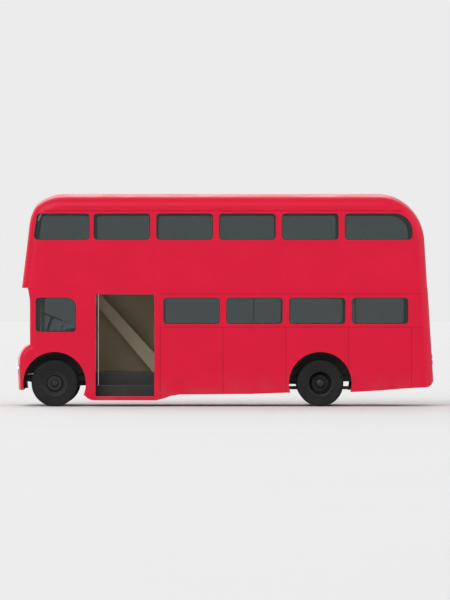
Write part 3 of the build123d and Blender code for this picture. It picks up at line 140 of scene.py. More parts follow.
@dataclass
class Skin:
    """One outer skin of the body, as its depth over a plane elevation."""

    deck: Deck
    sign: float = 1.0  # +1 for the near side or the rear, -1 for the off side or the front

    def depth(self, u: Array, v: Array) -> Array:
        """Outward coordinate of the skin.

        Args:
            u: Y on a side, X on an end.
            v: Z.

        Returns:
            How far out the skin is: flat runs, rounded by the quarter circle of the corner that they run into. The
            cambered ends depend on the height at X 0 that is as far from the camber's centre.
        """
        deck = self.deck
        if deck in (Deck.UPPER_SIDE, Deck.LOWER_SIDE):
            rise = v - WAIST_Z
            flat, front, radius = HALF_WIDTH, CAB_FACE_Y, FRONT_EDGE_RADIUS
            if deck is Deck.UPPER_SIDE:
                flat, front, radius = flat - rise * UPPER_LEAN, UPPER_FRONT_Y + rise * FRONT_RAKE, UPPER_EDGE_RADIUS
            past = np.clip(front + radius - u, 0.0, radius)
            return flat - radius + np.sqrt(radius**2 - past**2)
        if deck is Deck.CAB_FRONT:
            return np.clip(v - CAB_CURVE_Z, 0.0, None) ** 2 / (2 * CAB_LIP_RADIUS) - CAB_FACE_Y
        if deck is Deck.LOWER_REAR:
            return REAR_FACE_Y - (v - REAR_FACE_Z) * REAR_RAKE
        height = np.hypot(u, v - CAMBER_Z) + CAMBER_Z
        if deck is Deck.UPPER_FRONT:
            dome = np.clip(height - FRONT_DOME_Z, 0.0, None)
            return -(UPPER_FRONT_Y + (height - WAIST_Z) * FRONT_RAKE + dome**2 / (2 * FRONT_DOME_RADIUS))
        turn = math.atan(REAR_RAKE)
        start = ROOF_Z - REAR_DOME_RADIUS * (1 - math.sin(turn))
        centre = REAR_FACE_Y - (start - REAR_FACE_Z) * REAR_RAKE - REAR_DOME_RADIUS * math.cos(turn)
        rise = np.clip(height - ROOF_Z + REAR_DOME_RADIUS, 0.0, REAR_DOME_RADIUS)
        flat = REAR_FACE_Y - (height - REAR_FACE_Z) * REAR_RAKE
        return np.where(height > start, centre + np.sqrt(REAR_DOME_RADIUS**2 - rise**2), flat)

    def lay(self, u: Array, v: Array) -> tuple[Array, Array]:
        """Points of the skin and its normals, from its depth's slopes along U and V.

        Args:
            u: Y on a side, X on an end.
            v: Z.

        Returns:
            Rows of points, and rows of unit vectors that point out of the body.
        """
        step = 0.002
        slope_u = (self.depth(u + step, v) - self.depth(u - step, v)) / (2 * step)
        slope_v = (self.depth(u, v + step) - self.depth(u, v - step)) / (2 * step)
        order = [0, 1, 2] if self.deck in (Deck.UPPER_SIDE, Deck.LOWER_SIDE) else [1, 0, 2]
        points = np.stack([self.sign * self.depth(u, v), u, v], axis=-1)
        normals = unit(np.stack([np.full_like(slope_u, self.sign), -slope_u, -slope_v], axis=-1))
        return points[..., order], normals[..., order]


def arc_corner(before: Array, corner: Array, after: Array, radius: float, steps: int) -> Array:
    """Points of the circle that rounds one corner of a path.

    Args:
        before: The corner before.
        corner: The corner to round.
        after: The corner after.
        radius: Radius of the arc.
        steps: How many points it gets.

    Returns:
        Points of the arc, tangent to both edges.
    """
    a, b = unit(before - corner), unit(after - corner)
    half = math.acos(float(np.clip(a @ b, -1, 1))) / 2
    centre = corner + unit(a + b) * radius / math.sin(half)
    start, end = (corner + way * radius / math.tan(half) - centre for way in (a, b))
    t = np.linspace(0, 1, steps)[:, None]
    return centre + unit(start * (1 - t) + end * t) * radius


def pane_outline(u0: float, u1: float, v0: float, v1: float, radius: float, slant: float = 0.0,
                 corner: float | None = None) -> Array:
    """Outline of a window with rounded corners.

    Args:
        u0: Its first side.
        u1: Its second side.
        v0: Its sill.
        v1: Its head.
        radius: Radius of its corners.
        slant: How far the first side leans in at its head.
        corner: Radius of the head's second corner, where it differs.

    Returns:
        The outline's points, with three more along each straight run.
    """
    points = np.array([(u0, v0), (u1, v0), (u1, v1), (u0 + slant, v1)])
    radii = (radius, radius, corner or radius, radius)
    arcs = [arc_corner(points[i - 1], points[i], points[(i + 1) % 4], radii[i], 9) for i in range(4)]
    runs = [arc[-1] + np.linspace(0.25, 0.75, 3)[:, None] * (following[0] - arc[-1])
            for arc, following in zip(arcs, arcs[1:] + arcs[:1])]
    return np.concatenate([part for pair in zip(arcs, runs) for part in pair])


def bend(points: list[Point], radius: float, steps: int = 5) -> Array:
    """A path of straight runs with rounded corners.

    Args:
        points: Its sharp corners and ends.
        radius: Radius of each bend.
        steps: Points on each bend.

    Returns:
        Points of the path: each corner becomes an arc that is tangent to both runs.
    """
    corners = np.array(points, dtype=float)
    arcs = [arc_corner(*run, radius, steps) for run in zip(corners, corners[1:], corners[2:])]
    return np.concatenate([corners[:1], *arcs, corners[-1:]])


def carried(path: Array, across: Array, normals: Array, section: Array) -> Array:
    """Rings of a section along a path: its points, plus sideways offsets across it, plus offsets along its normals."""
    return path[:, None] + across[:, None] * section[:, :1] + normals[:, None] * section[:, 1:]


def grid_faces(rows: int, columns: int, close_rows: bool, close_columns: bool) -> Array:
    """Quads that join a grid of points.

    Args:
        rows: Points along the first parameter.
        columns: Points along the second parameter.
        close_rows: Whether the last row joins the first.
        close_columns: Whether the last column joins the first.

    Returns:
        Four vertex numbers for each quad.
    """
    index = np.arange(rows * columns).reshape(rows, columns)
    index = np.pad(index, ((0, int(close_rows)), (0, int(close_columns))), "wrap")
    return np.stack([index[:-1, :-1], index[1:, :-1], index[1:, 1:], index[:-1, 1:]], axis=-1).reshape(-1, 4)


@dataclass
class Surface:
    """Points and faces that become one mesh."""

    points: list[Array] = field(default_factory=list)
    faces: list[Array] = field(default_factory=list)

    def add(self, points: Array, faces: Array) -> None:
        """Adds a patch.

        Args:
            points: Its vertices.
            faces: Its faces, counted from its own first vertex.
        """
        start = sum(len(p) for p in self.points)
        self.points.append(points.reshape(-1, 3))
        self.faces.append(faces + start)

    def grid(self, points: Array, close_rows: bool, close_columns: bool, caps: tuple[Array, ...] = ()) -> None:
        """Adds a closed patch. Its volume is a sixth of the sum of triple products over fans from its middle, and
        where that is negative, every quad is turned round.

        Args:
            points: Vertices by row and column.
            close_rows: Whether the last row joins the first.
            close_columns: Whether the last column joins the first.
            caps: More quads.
        """
        faces = np.concatenate([grid_faces(*points.shape[:2], close_rows, close_columns), *caps])
        corners = points.reshape(-1, 3)[faces]
        a, b, c, d = np.moveaxis(corners - corners.mean(axis=(0, 1)), 1, 0)
        volume = np.einsum("ij,ij->", a, np.cross(b, c) + np.cross(c, d))
        self.add(points, faces if volume > 0 else faces[:, ::-1])

    def box(self, low: Point, high: Point, bevel: float) -> None:
        """Adds a bar with chamfered edges: four rings of its outline in X and Y, drawn in at the top and bottom.

        Args:
            low: Lowest corner.
            high: Highest corner.
            bevel: Width of the chamfer.
        """
        (x0, y0, z0), (x1, y1, z1), k = low, high, bevel
        rings = []
        for z, inset in ((z0, k), (z0 + k, 0.0), (z1 - k, 0.0), (z1, k)):
            a, b, c, d = x0 + inset, x1 - inset, y0 + inset, y1 - inset
            rings.append([(a + k, c, z), (b - k, c, z), (b, c + k, z), (b, d - k, z),
                          (b - k, d, z), (a + k, d, z), (a, d - k, z), (a, c + k, z)])
        cap = np.array([[0, 1, 6, 7], [1, 2, 5, 6], [2, 3, 4, 5]])
        self.grid(np.array(rings), False, True, (cap[:, ::-1], cap + 24))

    def bar(self, rings: Array, middles: Array, ends: float, more: int = 1) -> None:
        """Adds a bar through closed rings, with its end rings drawn in to close it.

        Args:
            rings: The rings in order.
            middles: The point of each ring towards which it is drawn.
            ends: Size of the end rings against the others.
            more: 1 where the end rings are added to the others, 0 where they are the first and the last.
        """
        rings = np.pad(rings, ((more, more), (0, 0), (0, 0)), "edge")
        for end in (0, -1):
            rings[end] = middles[end] + (rings[end] - middles[end]) * ends
        self.grid(rings, False, True)

    def tube(self, path: Array, radius: float, sides: int) -> None:
        """Adds a round tube: rings of a circle across the path's direction, drawn to a point at both ends.

        Args:
            path: Points of its centre line.
            radius: Radius of the tube.
            sides: Points round it.
        """
        tangent = unit(np.gradient(path, axis=0))
        guide = np.array([0.0, 0.0, 1.0] if abs(tangent[:, 2]).max() < 0.9 else [1.0, 0.0, 0.0])
        if abs(tangent @ guide).max() > 0.95:
            guide = np.array([0.31, 0.95, 0.05])
        across = unit(np.cross(tangent, guide))
        rings = carried(path, across, np.cross(across, tangent), radius * circle(sides))
        self.bar(rings, path, 0.001 / radius)

    def lathe(self, profile: Profile, centre: Point, axis: Point, steps: int, ring: bool = False) -> None:
        """Adds a turned form: each point of its profile goes round a circle across the axis.

        Args:
            profile: Columns of distance along the axis and radius, from one closed end to the other.
            centre: Where distance 0 lies.
            axis: Direction of the axis.
            steps: Points round it.
            ring: Whether the profile is a closed loop clear of the axis.
        """
        profile = np.array(profile)
        along, side = (np.array(way.normalized()) for way in (Vector(axis), Vector(axis).orthogonal()))
        spokes = circle(steps) @ np.array([side, np.cross(along, side)])
        points = np.array(centre) + along * profile[:, :1] + spokes[:, None] * np.maximum(profile[:, 1:], 0.0004)
        self.grid(points, True, ring)

    def build(self, name: str, material: Material, smooth: bool = True) -> Piece:
        """Makes the object, with its place in its mesh.

        Args:
            name: The piece's name.
            material: Its finish.
            smooth: Whether its faces are shaded smooth.

        Returns:
            The new object.
        """
        mesh = bpy.data.meshes.new(name)
        polygons = [row for block in self.faces for row in block.tolist()]
        mesh.from_pydata(np.concatenate(self.points).tolist(), [], polygons)
        mesh.polygons.foreach_set("use_smooth", np.full(len(polygons), smooth))
        mesh.materials.append(material)
        mesh.update()
        piece = bpy.data.objects.new(name, mesh)
        bpy.context.scene.collection.objects.link(piece)
        LOG.info("%s: %d faces", name, len(polygons))
        return piece


class Graph:
    """A node tree being wired up."""

    def __init__(self, tree: Tree) -> None:
        """Keeps the tree of a material, a world or a group."""
        self.tree = tree

    def feed(self, node: Node, inputs: dict) -> None:
        """Feeds a node.

        Args:
            node: The node.
            inputs: Input name or number to the value that it is set to or the socket that it is linked to.
        """
        for key, value in inputs.items():
            if isinstance(value, Socket):
                self.tree.links.new(value, node.inputs[key])
            else:
                node.inputs[key].default_value = value

    def add(self, kind: str, inputs: dict | None = None, **settings: object) -> Node:
        """Adds a shader node.

        Args:
            kind: Its type's name, without the prefix.
            inputs: Input name or number to value or to the socket that feeds it.
            **settings: Its own properties.

        Returns:
            The node.
        """
        node = self.tree.nodes.new("ShaderNode" + kind)
        for key, value in settings.items():
            setattr(node, key, value)
        self.feed(node, inputs or {})
        return node

    def math(self, operation: str, *values: object) -> Socket:
        """Output of a Math node on these values or sockets."""
        return self.add("Math", dict(enumerate(values)), operation=operation).outputs[0]

    def times(self, first: object, second: object) -> Socket:
        """Product of two values or sockets."""
        return self.math("MULTIPLY", first, second)

    def vector(self, operation: str, *values: object, output: int = 0) -> Socket:
        """Output of a Vector Math node on these vectors or sockets."""
        return self.add("VectorMath", dict(enumerate(values)), operation=operation).outputs[output]

    def split(self, vector: Socket) -> list[Socket]:
        """X, Y and Z of a vector."""
        return list(self.add("SeparateXYZ", {0: vector}).outputs)

    def ramp(self, value: object, low: object, high: object, to_low: float = 0.0, to_high: float = 1.0) -> Socket:
        """Output of a smooth Map Range node."""
        inputs = {"Value": value, "From Min": low, "From Max": high, "To Min": to_low, "To Max": to_high}
        return self.add("MapRange", inputs, interpolation_type="SMOOTHSTEP").outputs[0]

    def noise(self, where: Socket, scale: object, detail: float, roughness: float = 0.5) -> Socket:
        """Output of a Noise Texture node."""
        inputs = {"Vector": where, "Scale": scale, "Detail": detail, "Roughness": roughness}
        return self.add("TexNoise", inputs).outputs[0]

    def mix(self, factor: object, first: object, second: object) -> Socket:
        """Output of a colour Mix node."""
        first, second = (c if isinstance(c, Socket) else (*c, 1.0) for c in (first, second))
        return self.add("Mix", {0: factor, 6: first, 7: second}, data_type="RGBA").outputs[2]

    def tinted(self, colour: object, factor: object) -> Socket:
        """A colour multiplied by a value."""
        return self.add("VectorMath", {0: colour, "Scale": factor}, operation="SCALE").outputs[0]

    def bump(self, height: Socket, distance: float, strength: float, more: dict | None = None) -> Socket:
        """Normal of a Bump node."""
        inputs = {"Height": height, "Distance": distance, "Strength": strength} | (more or {})
        return self.add("Bump", inputs).outputs[0]

    def group(self, tree: Tree, *values: object) -> Socket:
        """Output of a shared group on these values or sockets, in the order of its inputs."""
        return self.add("Group", dict(enumerate(values)), node_tree=tree).outputs[0]

    def give(self, value: Socket) -> Tree:
        """Ends a group: feeds its output, and returns its tree."""
        self.feed(self.tree.nodes.new("NodeGroupOutput"), {0: value})
        return self.tree


def new_group(name: str, output: str, inputs: dict[str, object]) -> tuple[Graph, list[Socket]]:
    """Starts a shader node group with named sockets.

    Args:
        name: The group's name.
        output: Its output's name.
        inputs: Names of its inputs after Vector, to their values: a float, or a tuple of three for a vector.

    Returns:
        The graph, and the sockets of its Group Input.
    """
    tree = bpy.data.node_groups.new(name, "ShaderNodeTree")
    for key, value in ({"Vector": (0.0, 0.0, 0.0)} | inputs).items():
        kind = "NodeSocketVector" if isinstance(value, tuple) else "NodeSocketFloat"
        tree.interface.new_socket(key, in_out="INPUT", socket_type=kind).default_value = value
    tree.interface.new_socket(output, in_out="OUTPUT", socket_type="NodeSocketFloat")
    return Graph(tree), list(tree.nodes.new("NodeGroupInput").outputs)[:-1]


class Effects:
    """The effects that several finishes share, each one shader node group that is built once."""

    @cached_property
    def mottle(self) -> Tree:
        """Brightness factor of 1 plus or minus Amount, from soft noise."""
        graph, (where, scale, amount) = new_group("Mottle", "Factor", {"Scale": 1.0, "Amount": 0.1})
        spread = graph.times(graph.ramp(graph.noise(where, scale, 4.0), 0.3, 0.7, -1.0, 1.0), amount)
        return graph.give(graph.math("ADD", spread, 1.0))

    @cached_property
    def grain(self) -> Tree:
        """Height of a fine two-octave grain."""
        graph, (where, scale) = new_group("Grain", "Height", {"Scale": 200.0})
        fine = graph.noise(where, graph.times(scale, 3.7), 1.0)
        return graph.give(graph.math("MULTIPLY_ADD", fine, 0.35, graph.noise(where, scale, 2.0)))

    @cached_property
    def dust(self) -> Tree:
        """Mask of road dust that thins out from height Low to height High, broken up by noise."""
        graph, (where, low, high, amount) = new_group("Dust", "Mask", {"Low": 0.0, "High": 1.0, "Amount": 0.5})
        fall = graph.ramp(graph.split(where)[2], high, low)
        patch = graph.times(fall, graph.ramp(graph.noise(where, 2.6, 7.0, 0.62), 0.32, 0.7))
        return graph.give(graph.times(patch, amount))

    @cached_property
    def outside(self) -> Tree:
        """Mask of faces that look away from a core box: their normal against the way from the box's nearest point. The
        faces that look down at the upper deck's lower edge, under its overhang at the front, are in it too."""
        graph, (where, normal, low, high, edge) = new_group("Outside", "Mask", {
            "Normal": (0.0, 0.0, 1.0), "Core Low": (-0.85, -3.2, 1.2), "Core High": (0.85, 3.1, 3.6),
            "Overhang": WAIST_Z})
        core = graph.vector("MINIMUM", graph.vector("MAXIMUM", where, low), high)
        away = graph.vector("NORMALIZE", graph.vector("SUBTRACT", where, core))
        facing = graph.ramp(graph.vector("DOT_PRODUCT", away, normal, output=1), 0.12, 0.2)
        level = graph.math("COMPARE", graph.split(where)[2], edge, 0.03)
        under = graph.times(level, graph.math("LESS_THAN", graph.split(normal)[2], -0.5))
        return graph.give(graph.math("MAXIMUM", facing, under))

    @cached_property
    def indoors(self) -> Tree:
        """Mask of what lies over the saloon floor, or over the cab floor ahead of the bulkhead."""
        graph, (where, floor, cab, bulkhead) = new_group("Indoors", "Mask", {
            "Floor": 0.665, "Cab Floor": 1.13, "Bulkhead": -2.77})
        _, y, z = graph.split(where)
        ahead = graph.math("LESS_THAN", y, bulkhead)
        level = graph.math("MULTIPLY_ADD", ahead, graph.math("SUBTRACT", cab, floor), floor)
        return graph.give(graph.math("GREATER_THAN", z, level))

    @cached_property
    def seams(self) -> Tree:
        """Mask of the joints of the lower side panels: upright lines a bay apart under a line along Y at the sills, and
        another line over the windows, all behind the entrance and on faces that look along X."""
        graph, (where, normal, pitch, first, sill, head, width) = new_group("Seams", "Mask", {
            "Normal": (1.0, 0.0, 0.0), "Pitch": BAY, "First": -1.319, "Sill": 1.622, "Head": 2.3, "Width": 0.004})
        _, y, z = graph.split(where)
        bays = graph.math("ADD", graph.math("DIVIDE", graph.math("SUBTRACT", y, first), pitch), 0.5)
        share = graph.math("ABSOLUTE", graph.math("SUBTRACT", graph.math("FRACT", bays), 0.5))
        upright = graph.math("LESS_THAN", graph.times(share, pitch), width)
        upright = graph.times(upright, graph.math("LESS_THAN", z, sill))
        levels = [graph.math("COMPARE", z, level, width) for level in (sill, head)]
        lines = graph.math("MAXIMUM", upright, graph.math("MAXIMUM", *levels))
        behind = graph.math("GREATER_THAN", y, graph.math("SUBTRACT", first, 0.01))
        facing = graph.math("GREATER_THAN", graph.math("ABSOLUTE", graph.split(normal)[0]), 0.9)
        return graph.give(graph.times(lines, graph.times(behind, facing)))

    @cached_property
    def weave(self) -> Tree:
        """Height of a plain weave: crossed sine waves over X and over Y plus Z."""
        graph, (where, pitch) = new_group("Weave", "Height", {"Pitch": 0.004})
        x, y, z = graph.split(where)
        turn = graph.math("DIVIDE", 2 * math.pi, pitch)
        warp, weft = (graph.math("SINE", graph.times(value, turn)) for value in (x, graph.math("ADD", y, z)))
        return graph.give(graph.math("MULTIPLY_ADD", graph.times(warp, weft), 0.5, 0.5))


@dataclass(frozen=True)
class Finish:
    """What every finish starts from."""

    name: str  # the material's name

    def start(self) -> tuple[Material, Graph, Socket, Socket]:
        """Starts the material.

        Returns:
            The material, its graph, its Object coordinates and its normal.
        """
        material = bpy.data.materials.new(self.name)
        material.use_nodes = True
        graph = Graph(material.node_tree)
        spot = graph.add("TexCoord").outputs
        return material, graph, spot["Object"], spot["Normal"]

    @staticmethod
    def end(material: Material, inputs: dict[str, object]) -> Material:
        """Feeds the material's own shader with values and sockets, and returns the material."""
        Graph(material.node_tree).feed(material.node_tree.nodes["Principled BSDF"], inputs)
        return material


@dataclass(frozen=True)
class Coating(Finish):
    """A painted, moulded or bare metal surface."""

    colour: Point  # linear red, green and blue
    roughness: float = 0.4  # its mean
    metallic: float = 0.0  # 1 for bare metal
    coat: float = 0.0  # weight of a clear gloss coat
    specular: float = 0.5  # strength of its plain reflection
    mottle: float = 0.06  # how much the brightness varies
    mottle_scale: float = 1.6  # patches to a metre
    grain: float = 0.0002  # height of the fine grain in metres
    grain_scale: float = 260.0  # grains to a metre
    dust: float = 0.0  # share of dust at the bottom
    dust_z: Pair = (0.1, 1.3)  # heights between which the dust thins out
    inner: Point | None = None  # colour of the faces that look into the bus, if they differ
    seams: float = 0.0  # how much darker the joints of the lower side panels are
    below: bool = False  # whether it is black under the floors

    def make(self, effects: Effects) -> Material:
        """Builds the material.

        Args:
            effects: The shared groups.

        Returns:
            A material whose colour, roughness and bump come from nodes on Object coordinates.
        """
        material, graph, where, normal = self.start()
        factor = graph.group(effects.mottle, where, self.mottle_scale, self.mottle)
        base, rough, outside = self.colour, self.roughness, 1.0
        if self.inner or self.below:
            within = graph.mix(graph.group(effects.indoors, where), SOOT, self.inner or self.colour)
        if self.below:
            base = within
        if self.inner:
            outside = graph.group(effects.outside, where, normal)
            base = graph.mix(outside, within, base)
            rough = graph.ramp(outside, 0.0, 1.0, 0.5, self.roughness)
        colour = graph.tinted(base, factor)
        rough = graph.math("ADD", rough, graph.ramp(factor, 1 - self.mottle, 1 + self.mottle, -0.04, 0.04))
        if self.dust:
            mask = graph.group(effects.dust, where, *self.dust_z, self.dust)
            colour = graph.mix(mask, colour, ROAD_DUST)
            rough = graph.math("ADD", rough, graph.times(mask, 0.4))
        bump = graph.bump(graph.group(effects.grain, where, self.grain_scale), self.grain, 0.6)
        if self.seams:
            mask = graph.times(graph.group(effects.seams, where, normal), outside)
            colour = graph.mix(graph.times(mask, self.seams), colour, JOINT)
            bump = graph.bump(graph.math("SUBTRACT", 1.0, mask), 0.002, 0.8, {"Normal": bump})
        return self.end(material, {
            "Base Color": colour, "Roughness": rough, "Normal": bump, "Metallic": self.metallic,
            "Coat Weight": self.coat, "Specular IOR Level": self.specular, "Coat Roughness": 0.08})


@dataclass(frozen=True)
class Glazing(Finish):
    """Clear glass that lamps shine through."""

    tint: Point  # linear colour of the glass
    film: Point  # linear colour that a face of it gives to light from the lamps
    roughness: float = 0.015

    def make(self, effects: Effects) -> Material:
        """Builds the material: glass for the eye, a tinted clear film for rays from lamps.

        Args:
            effects: The shared groups.

        Returns:
            The material.
        """
        material, graph, where, _ = self.start()
        shade = graph.group(effects.mottle, where, 3.0, 0.02)
        smear = graph.ramp(shade, 0.98, 1.02, self.roughness, self.roughness + 0.02)
        self.end(material, {"Base Color": graph.tinted(self.tint, shade), "Roughness": smear,
                            "Transmission Weight": 1.0, "IOR": 1.45})
        glass = material.node_tree.nodes["Principled BSDF"].outputs[0]
        clear = graph.add("BsdfTransparent", {"Color": (*self.film, 1.0)}).outputs[0]
        shadow = graph.add("LightPath").outputs["Is Shadow Ray"]
        blend = graph.add("MixShader", {0: shadow, 1: glass, 2: clear}).outputs[0]
        graph.feed(material.node_tree.nodes["Material Output"], {"Surface": blend})
        return material


@dataclass(frozen=True)
class Moquette(Finish):
    """Woven pile cloth of the seats, in a small check of two shades."""

    ground: Point  # linear colour of the ground
    check: Point  # linear colour of the check's threads
    pitch: float = 0.06  # distance between the check's lines in metres

    def make(self, effects: Effects) -> Material:
        """Builds the material: fine threads, a check, and pile worn lighter in patches.

        Args:
            effects: The shared groups.

        Returns:
            The material.
        """
        material, graph, where, _ = self.start()
        x, y, z = graph.split(where)
        rate = 2 * math.pi / self.pitch
        lines = [graph.math("SINE", graph.times(value, rate)) for value in (x, graph.math("ADD", y, z))]
        grid = graph.math("MAXIMUM", *[graph.ramp(line, 0.78, 0.95) for line in lines])
        worn = graph.group(effects.mottle, where, 5.0, 0.16)
        bump = graph.bump(graph.group(effects.weave, where, 0.004), 0.0008, 0.7)
        return self.end(material, {"Base Color": graph.tinted(graph.mix(grid, self.ground, self.check), worn),
                                   "Normal": bump, "Roughness": 0.85, "Sheen Weight": 0.3})


@dataclass(frozen=True)
class RibbedFloor(Finish):
    """Fluted floor covering with grooves along the bus."""

    colour: Point
    pitch: float = 0.025  # distance between grooves in metres

    def make(self, effects: Effects) -> Material:
        """Builds the material: a wave over X cuts the grooves, which are painted darker as shade, and foot dirt darkens
        patches. The underside of the upper floor is the lower saloon's ceiling, and the other undersides are black.

        Args:
            effects: The shared groups.

        Returns:
            The material.
        """
        material, graph, where, normal = self.start()
        x, _, z = graph.split(where)
        top = graph.ramp(graph.split(normal)[2], 0.1, 0.3)
        wave = graph.math("SINE", graph.times(x, 2 * math.pi / self.pitch))
        groove = graph.math("MAXIMUM", graph.ramp(wave, -0.9, -0.5), graph.math("SUBTRACT", 1.0, top))
        # worn: foot dirt in patches, times painted shade that darkens the grooves to 0.55 of the colour
        worn = graph.times(graph.group(effects.mottle, where, 2.4, 0.2), graph.ramp(groove, 0.0, 1.0, 0.55, 1.0))
        under = graph.mix(graph.math("GREATER_THAN", z, 2.3), SOOT, CREAM)
        return self.end(material, {"Base Color": graph.tinted(graph.mix(top, under, self.colour), worn),
                                   "Normal": graph.bump(groove, 0.0015, 0.8), "Roughness": 0.6})


PAINT = {"roughness": 0.42, "coat": 0.05, "specular": 0.18, "mottle": 0.02, "grain": 0.00004, "dust": 0.12,
         "dust_z": (0.1, 0.9)}
LINING = {"roughness": 0.45, "mottle": 0.05, "grain": 0.0001}
FINISHES = {
    "bodywork": Coating("body_gloss_red", RED, **PAINT, inner=CREAM, seams=0.7),
    "nose": Coating("bonnet_gloss_red", RED, **PAINT, inner=SOOT),
    "trim": Coating("trim_gloss_red", RED, **PAINT),
    "glazing": Glazing("window_glass", (0.2, 0.235, 0.235), (0.36, 0.4, 0.4)),
    "tyre": Coating("tyre_rubber", (0.010, 0.010, 0.011), 0.78, specular=0.2, mottle=0.12, grain=0.0004,
                    grain_scale=420.0, dust=0.06, dust_z=(0.0, 1.0)),
    "wheel_paint": Coating("wheel_black", (0.010, 0.010, 0.011), 0.42, coat=0.1, specular=0.3, dust=0.04,
                           dust_z=(0.1, 1.0)),
    "chassis_paint": Coating("chassis_black", (0.02, 0.02, 0.021), 0.55, dust=0.4, dust_z=(0.2, 1.1)),
    "engine_paint": Coating("engine_grey", (0.12, 0.14, 0.14), 0.45, mottle=0.2, dust=0.3, dust_z=(0.3, 1.2)),
    "spring_steel": Coating("spring_steel", (0.05, 0.042, 0.036), 0.62, 0.6, mottle=0.25, mottle_scale=6.0, dust=0.3),
    "exhaust_steel": Coating("exhaust_steel", (0.13, 0.085, 0.06), 0.7, 0.6, mottle=0.3, mottle_scale=5.0, dust=0.25),
    "floor_cover": RibbedFloor("floor_cover", (0.055, 0.03, 0.02)),
    "lining": Coating("cream_lining", CREAM, **LINING),
    "bulkhead": Coating("bulkhead_lining", CREAM, **LINING, below=True),
    "upholstery": Moquette("seat_moquette", (0.028, 0.045, 0.085), (0.2, 0.04, 0.03)),
    "seat_frame": Coating("seat_enamel", (0.055, 0.012, 0.012), 0.4, coat=0.2, mottle=0.1),
    "rail_steel": Coating("rail_chrome", (0.55, 0.55, 0.56), 0.16, 1.0, mottle=0.05, grain=0.00005),
    "grille_metal": Coating("grille_alloy", (0.42, 0.42, 0.43), 0.28, 1.0, mottle=0.08, grain=0.00008, inner=SOOT),
    "lamp": Glazing("lamp_glass", (0.9, 0.92, 0.92), (0.9, 0.92, 0.92)),
    "tail_lens": Coating("tail_lens_red", (0.35, 0.004, 0.006), 0.12, coat=0.6, mottle=0.08, mottle_scale=30.0),
    "steering_plastic": Coating("steering_black", (0.014, 0.014, 0.015), 0.35, coat=0.1, grain=0.0002),
    "seal": Coating("seal_rubber", (0.013, 0.013, 0.014), 0.6, mottle=0.1, grain=0.0002),
    "bright": Coating("bright_trim", (0.5, 0.5, 0.51), 0.2, 1.0, mottle=0.06, grain=0.00006),
    "reflector": Coating("lamp_reflector", (0.75, 0.75, 0.74), 0.12, 1.0, mottle=0.04, grain=0.00004),
    "fitting": Coating("black_fitting", (0.016, 0.016, 0.017), 0.4, coat=0.1, mottle=0.08),
    "globe": Coating("ceiling_globe", (0.72, 0.7, 0.62), 0.35, mottle=0.03, grain=0.00005),
    "blind": Coating("blind_linen", (0.02, 0.02, 0.02), 0.8, mottle=0.1, grain=0.0003, grain_scale=900.0),
}


class Kit:
    """What every sub-assembly needs: the loaded frame, the effects and one material for each finish."""

    def __init__(self, frame: dict) -> None:
        """Builds the materials.
        """
        self.frame = frame
        effects = Effects()
        self.materials = {key: finish.make(effects) for key, finish in FINISHES.items()}

    def place(self, surface: Surface, name: str, finish: str, slot: str, body: str = "coach",
              smooth: bool = True) -> Piece:
        """Makes a piece from a surface and lets it ride on a body.

        Args:
            surface: Its points and faces.
            name: Its name.
            finish: Key of its material.
            slot: The record's material slot; not used.
            body: The CAD body that carries it.
            smooth: Whether it is shaded smooth, up to edges of 40 degrees.

        Returns:
            The piece.
        """
        piece = surface.build(name, self.materials[finish], smooth)
        if smooth:
            piece.data.set_sharp_from_angle(angle=math.radians(40))
        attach(piece, body)
        return piece


@dataclass
class Part:
    """A sub-assembly that is dressed or made."""

    kit: Kit


@dataclass
class Finisher(Part):
    """Dresses the CAD nodes that are carried over."""

    # Finishes of the nodes that don't take their slot's own
    special: dict[str, str] = field(default_factory=lambda: {"nose": "nose", "partition": "bulkhead"} | {
        f"door_leaf_{place}_{half}": "trim" for place in ("front", "rear") for half in "ab"})

    def build(self) -> None:
        """Gives every CAD node the finish of its slot."""
        slots = {part["node"]: part["material_slot"] for part in self.kit.frame["record"]["subparts"]}
        for name, piece in self.kit.frame["nodes"].items():
            piece.data.materials.clear()
            piece.data.materials.append(self.kit.materials[self.special.get(name, slots[name])])
        LOG.info("dressed %d CAD nodes", len(slots))


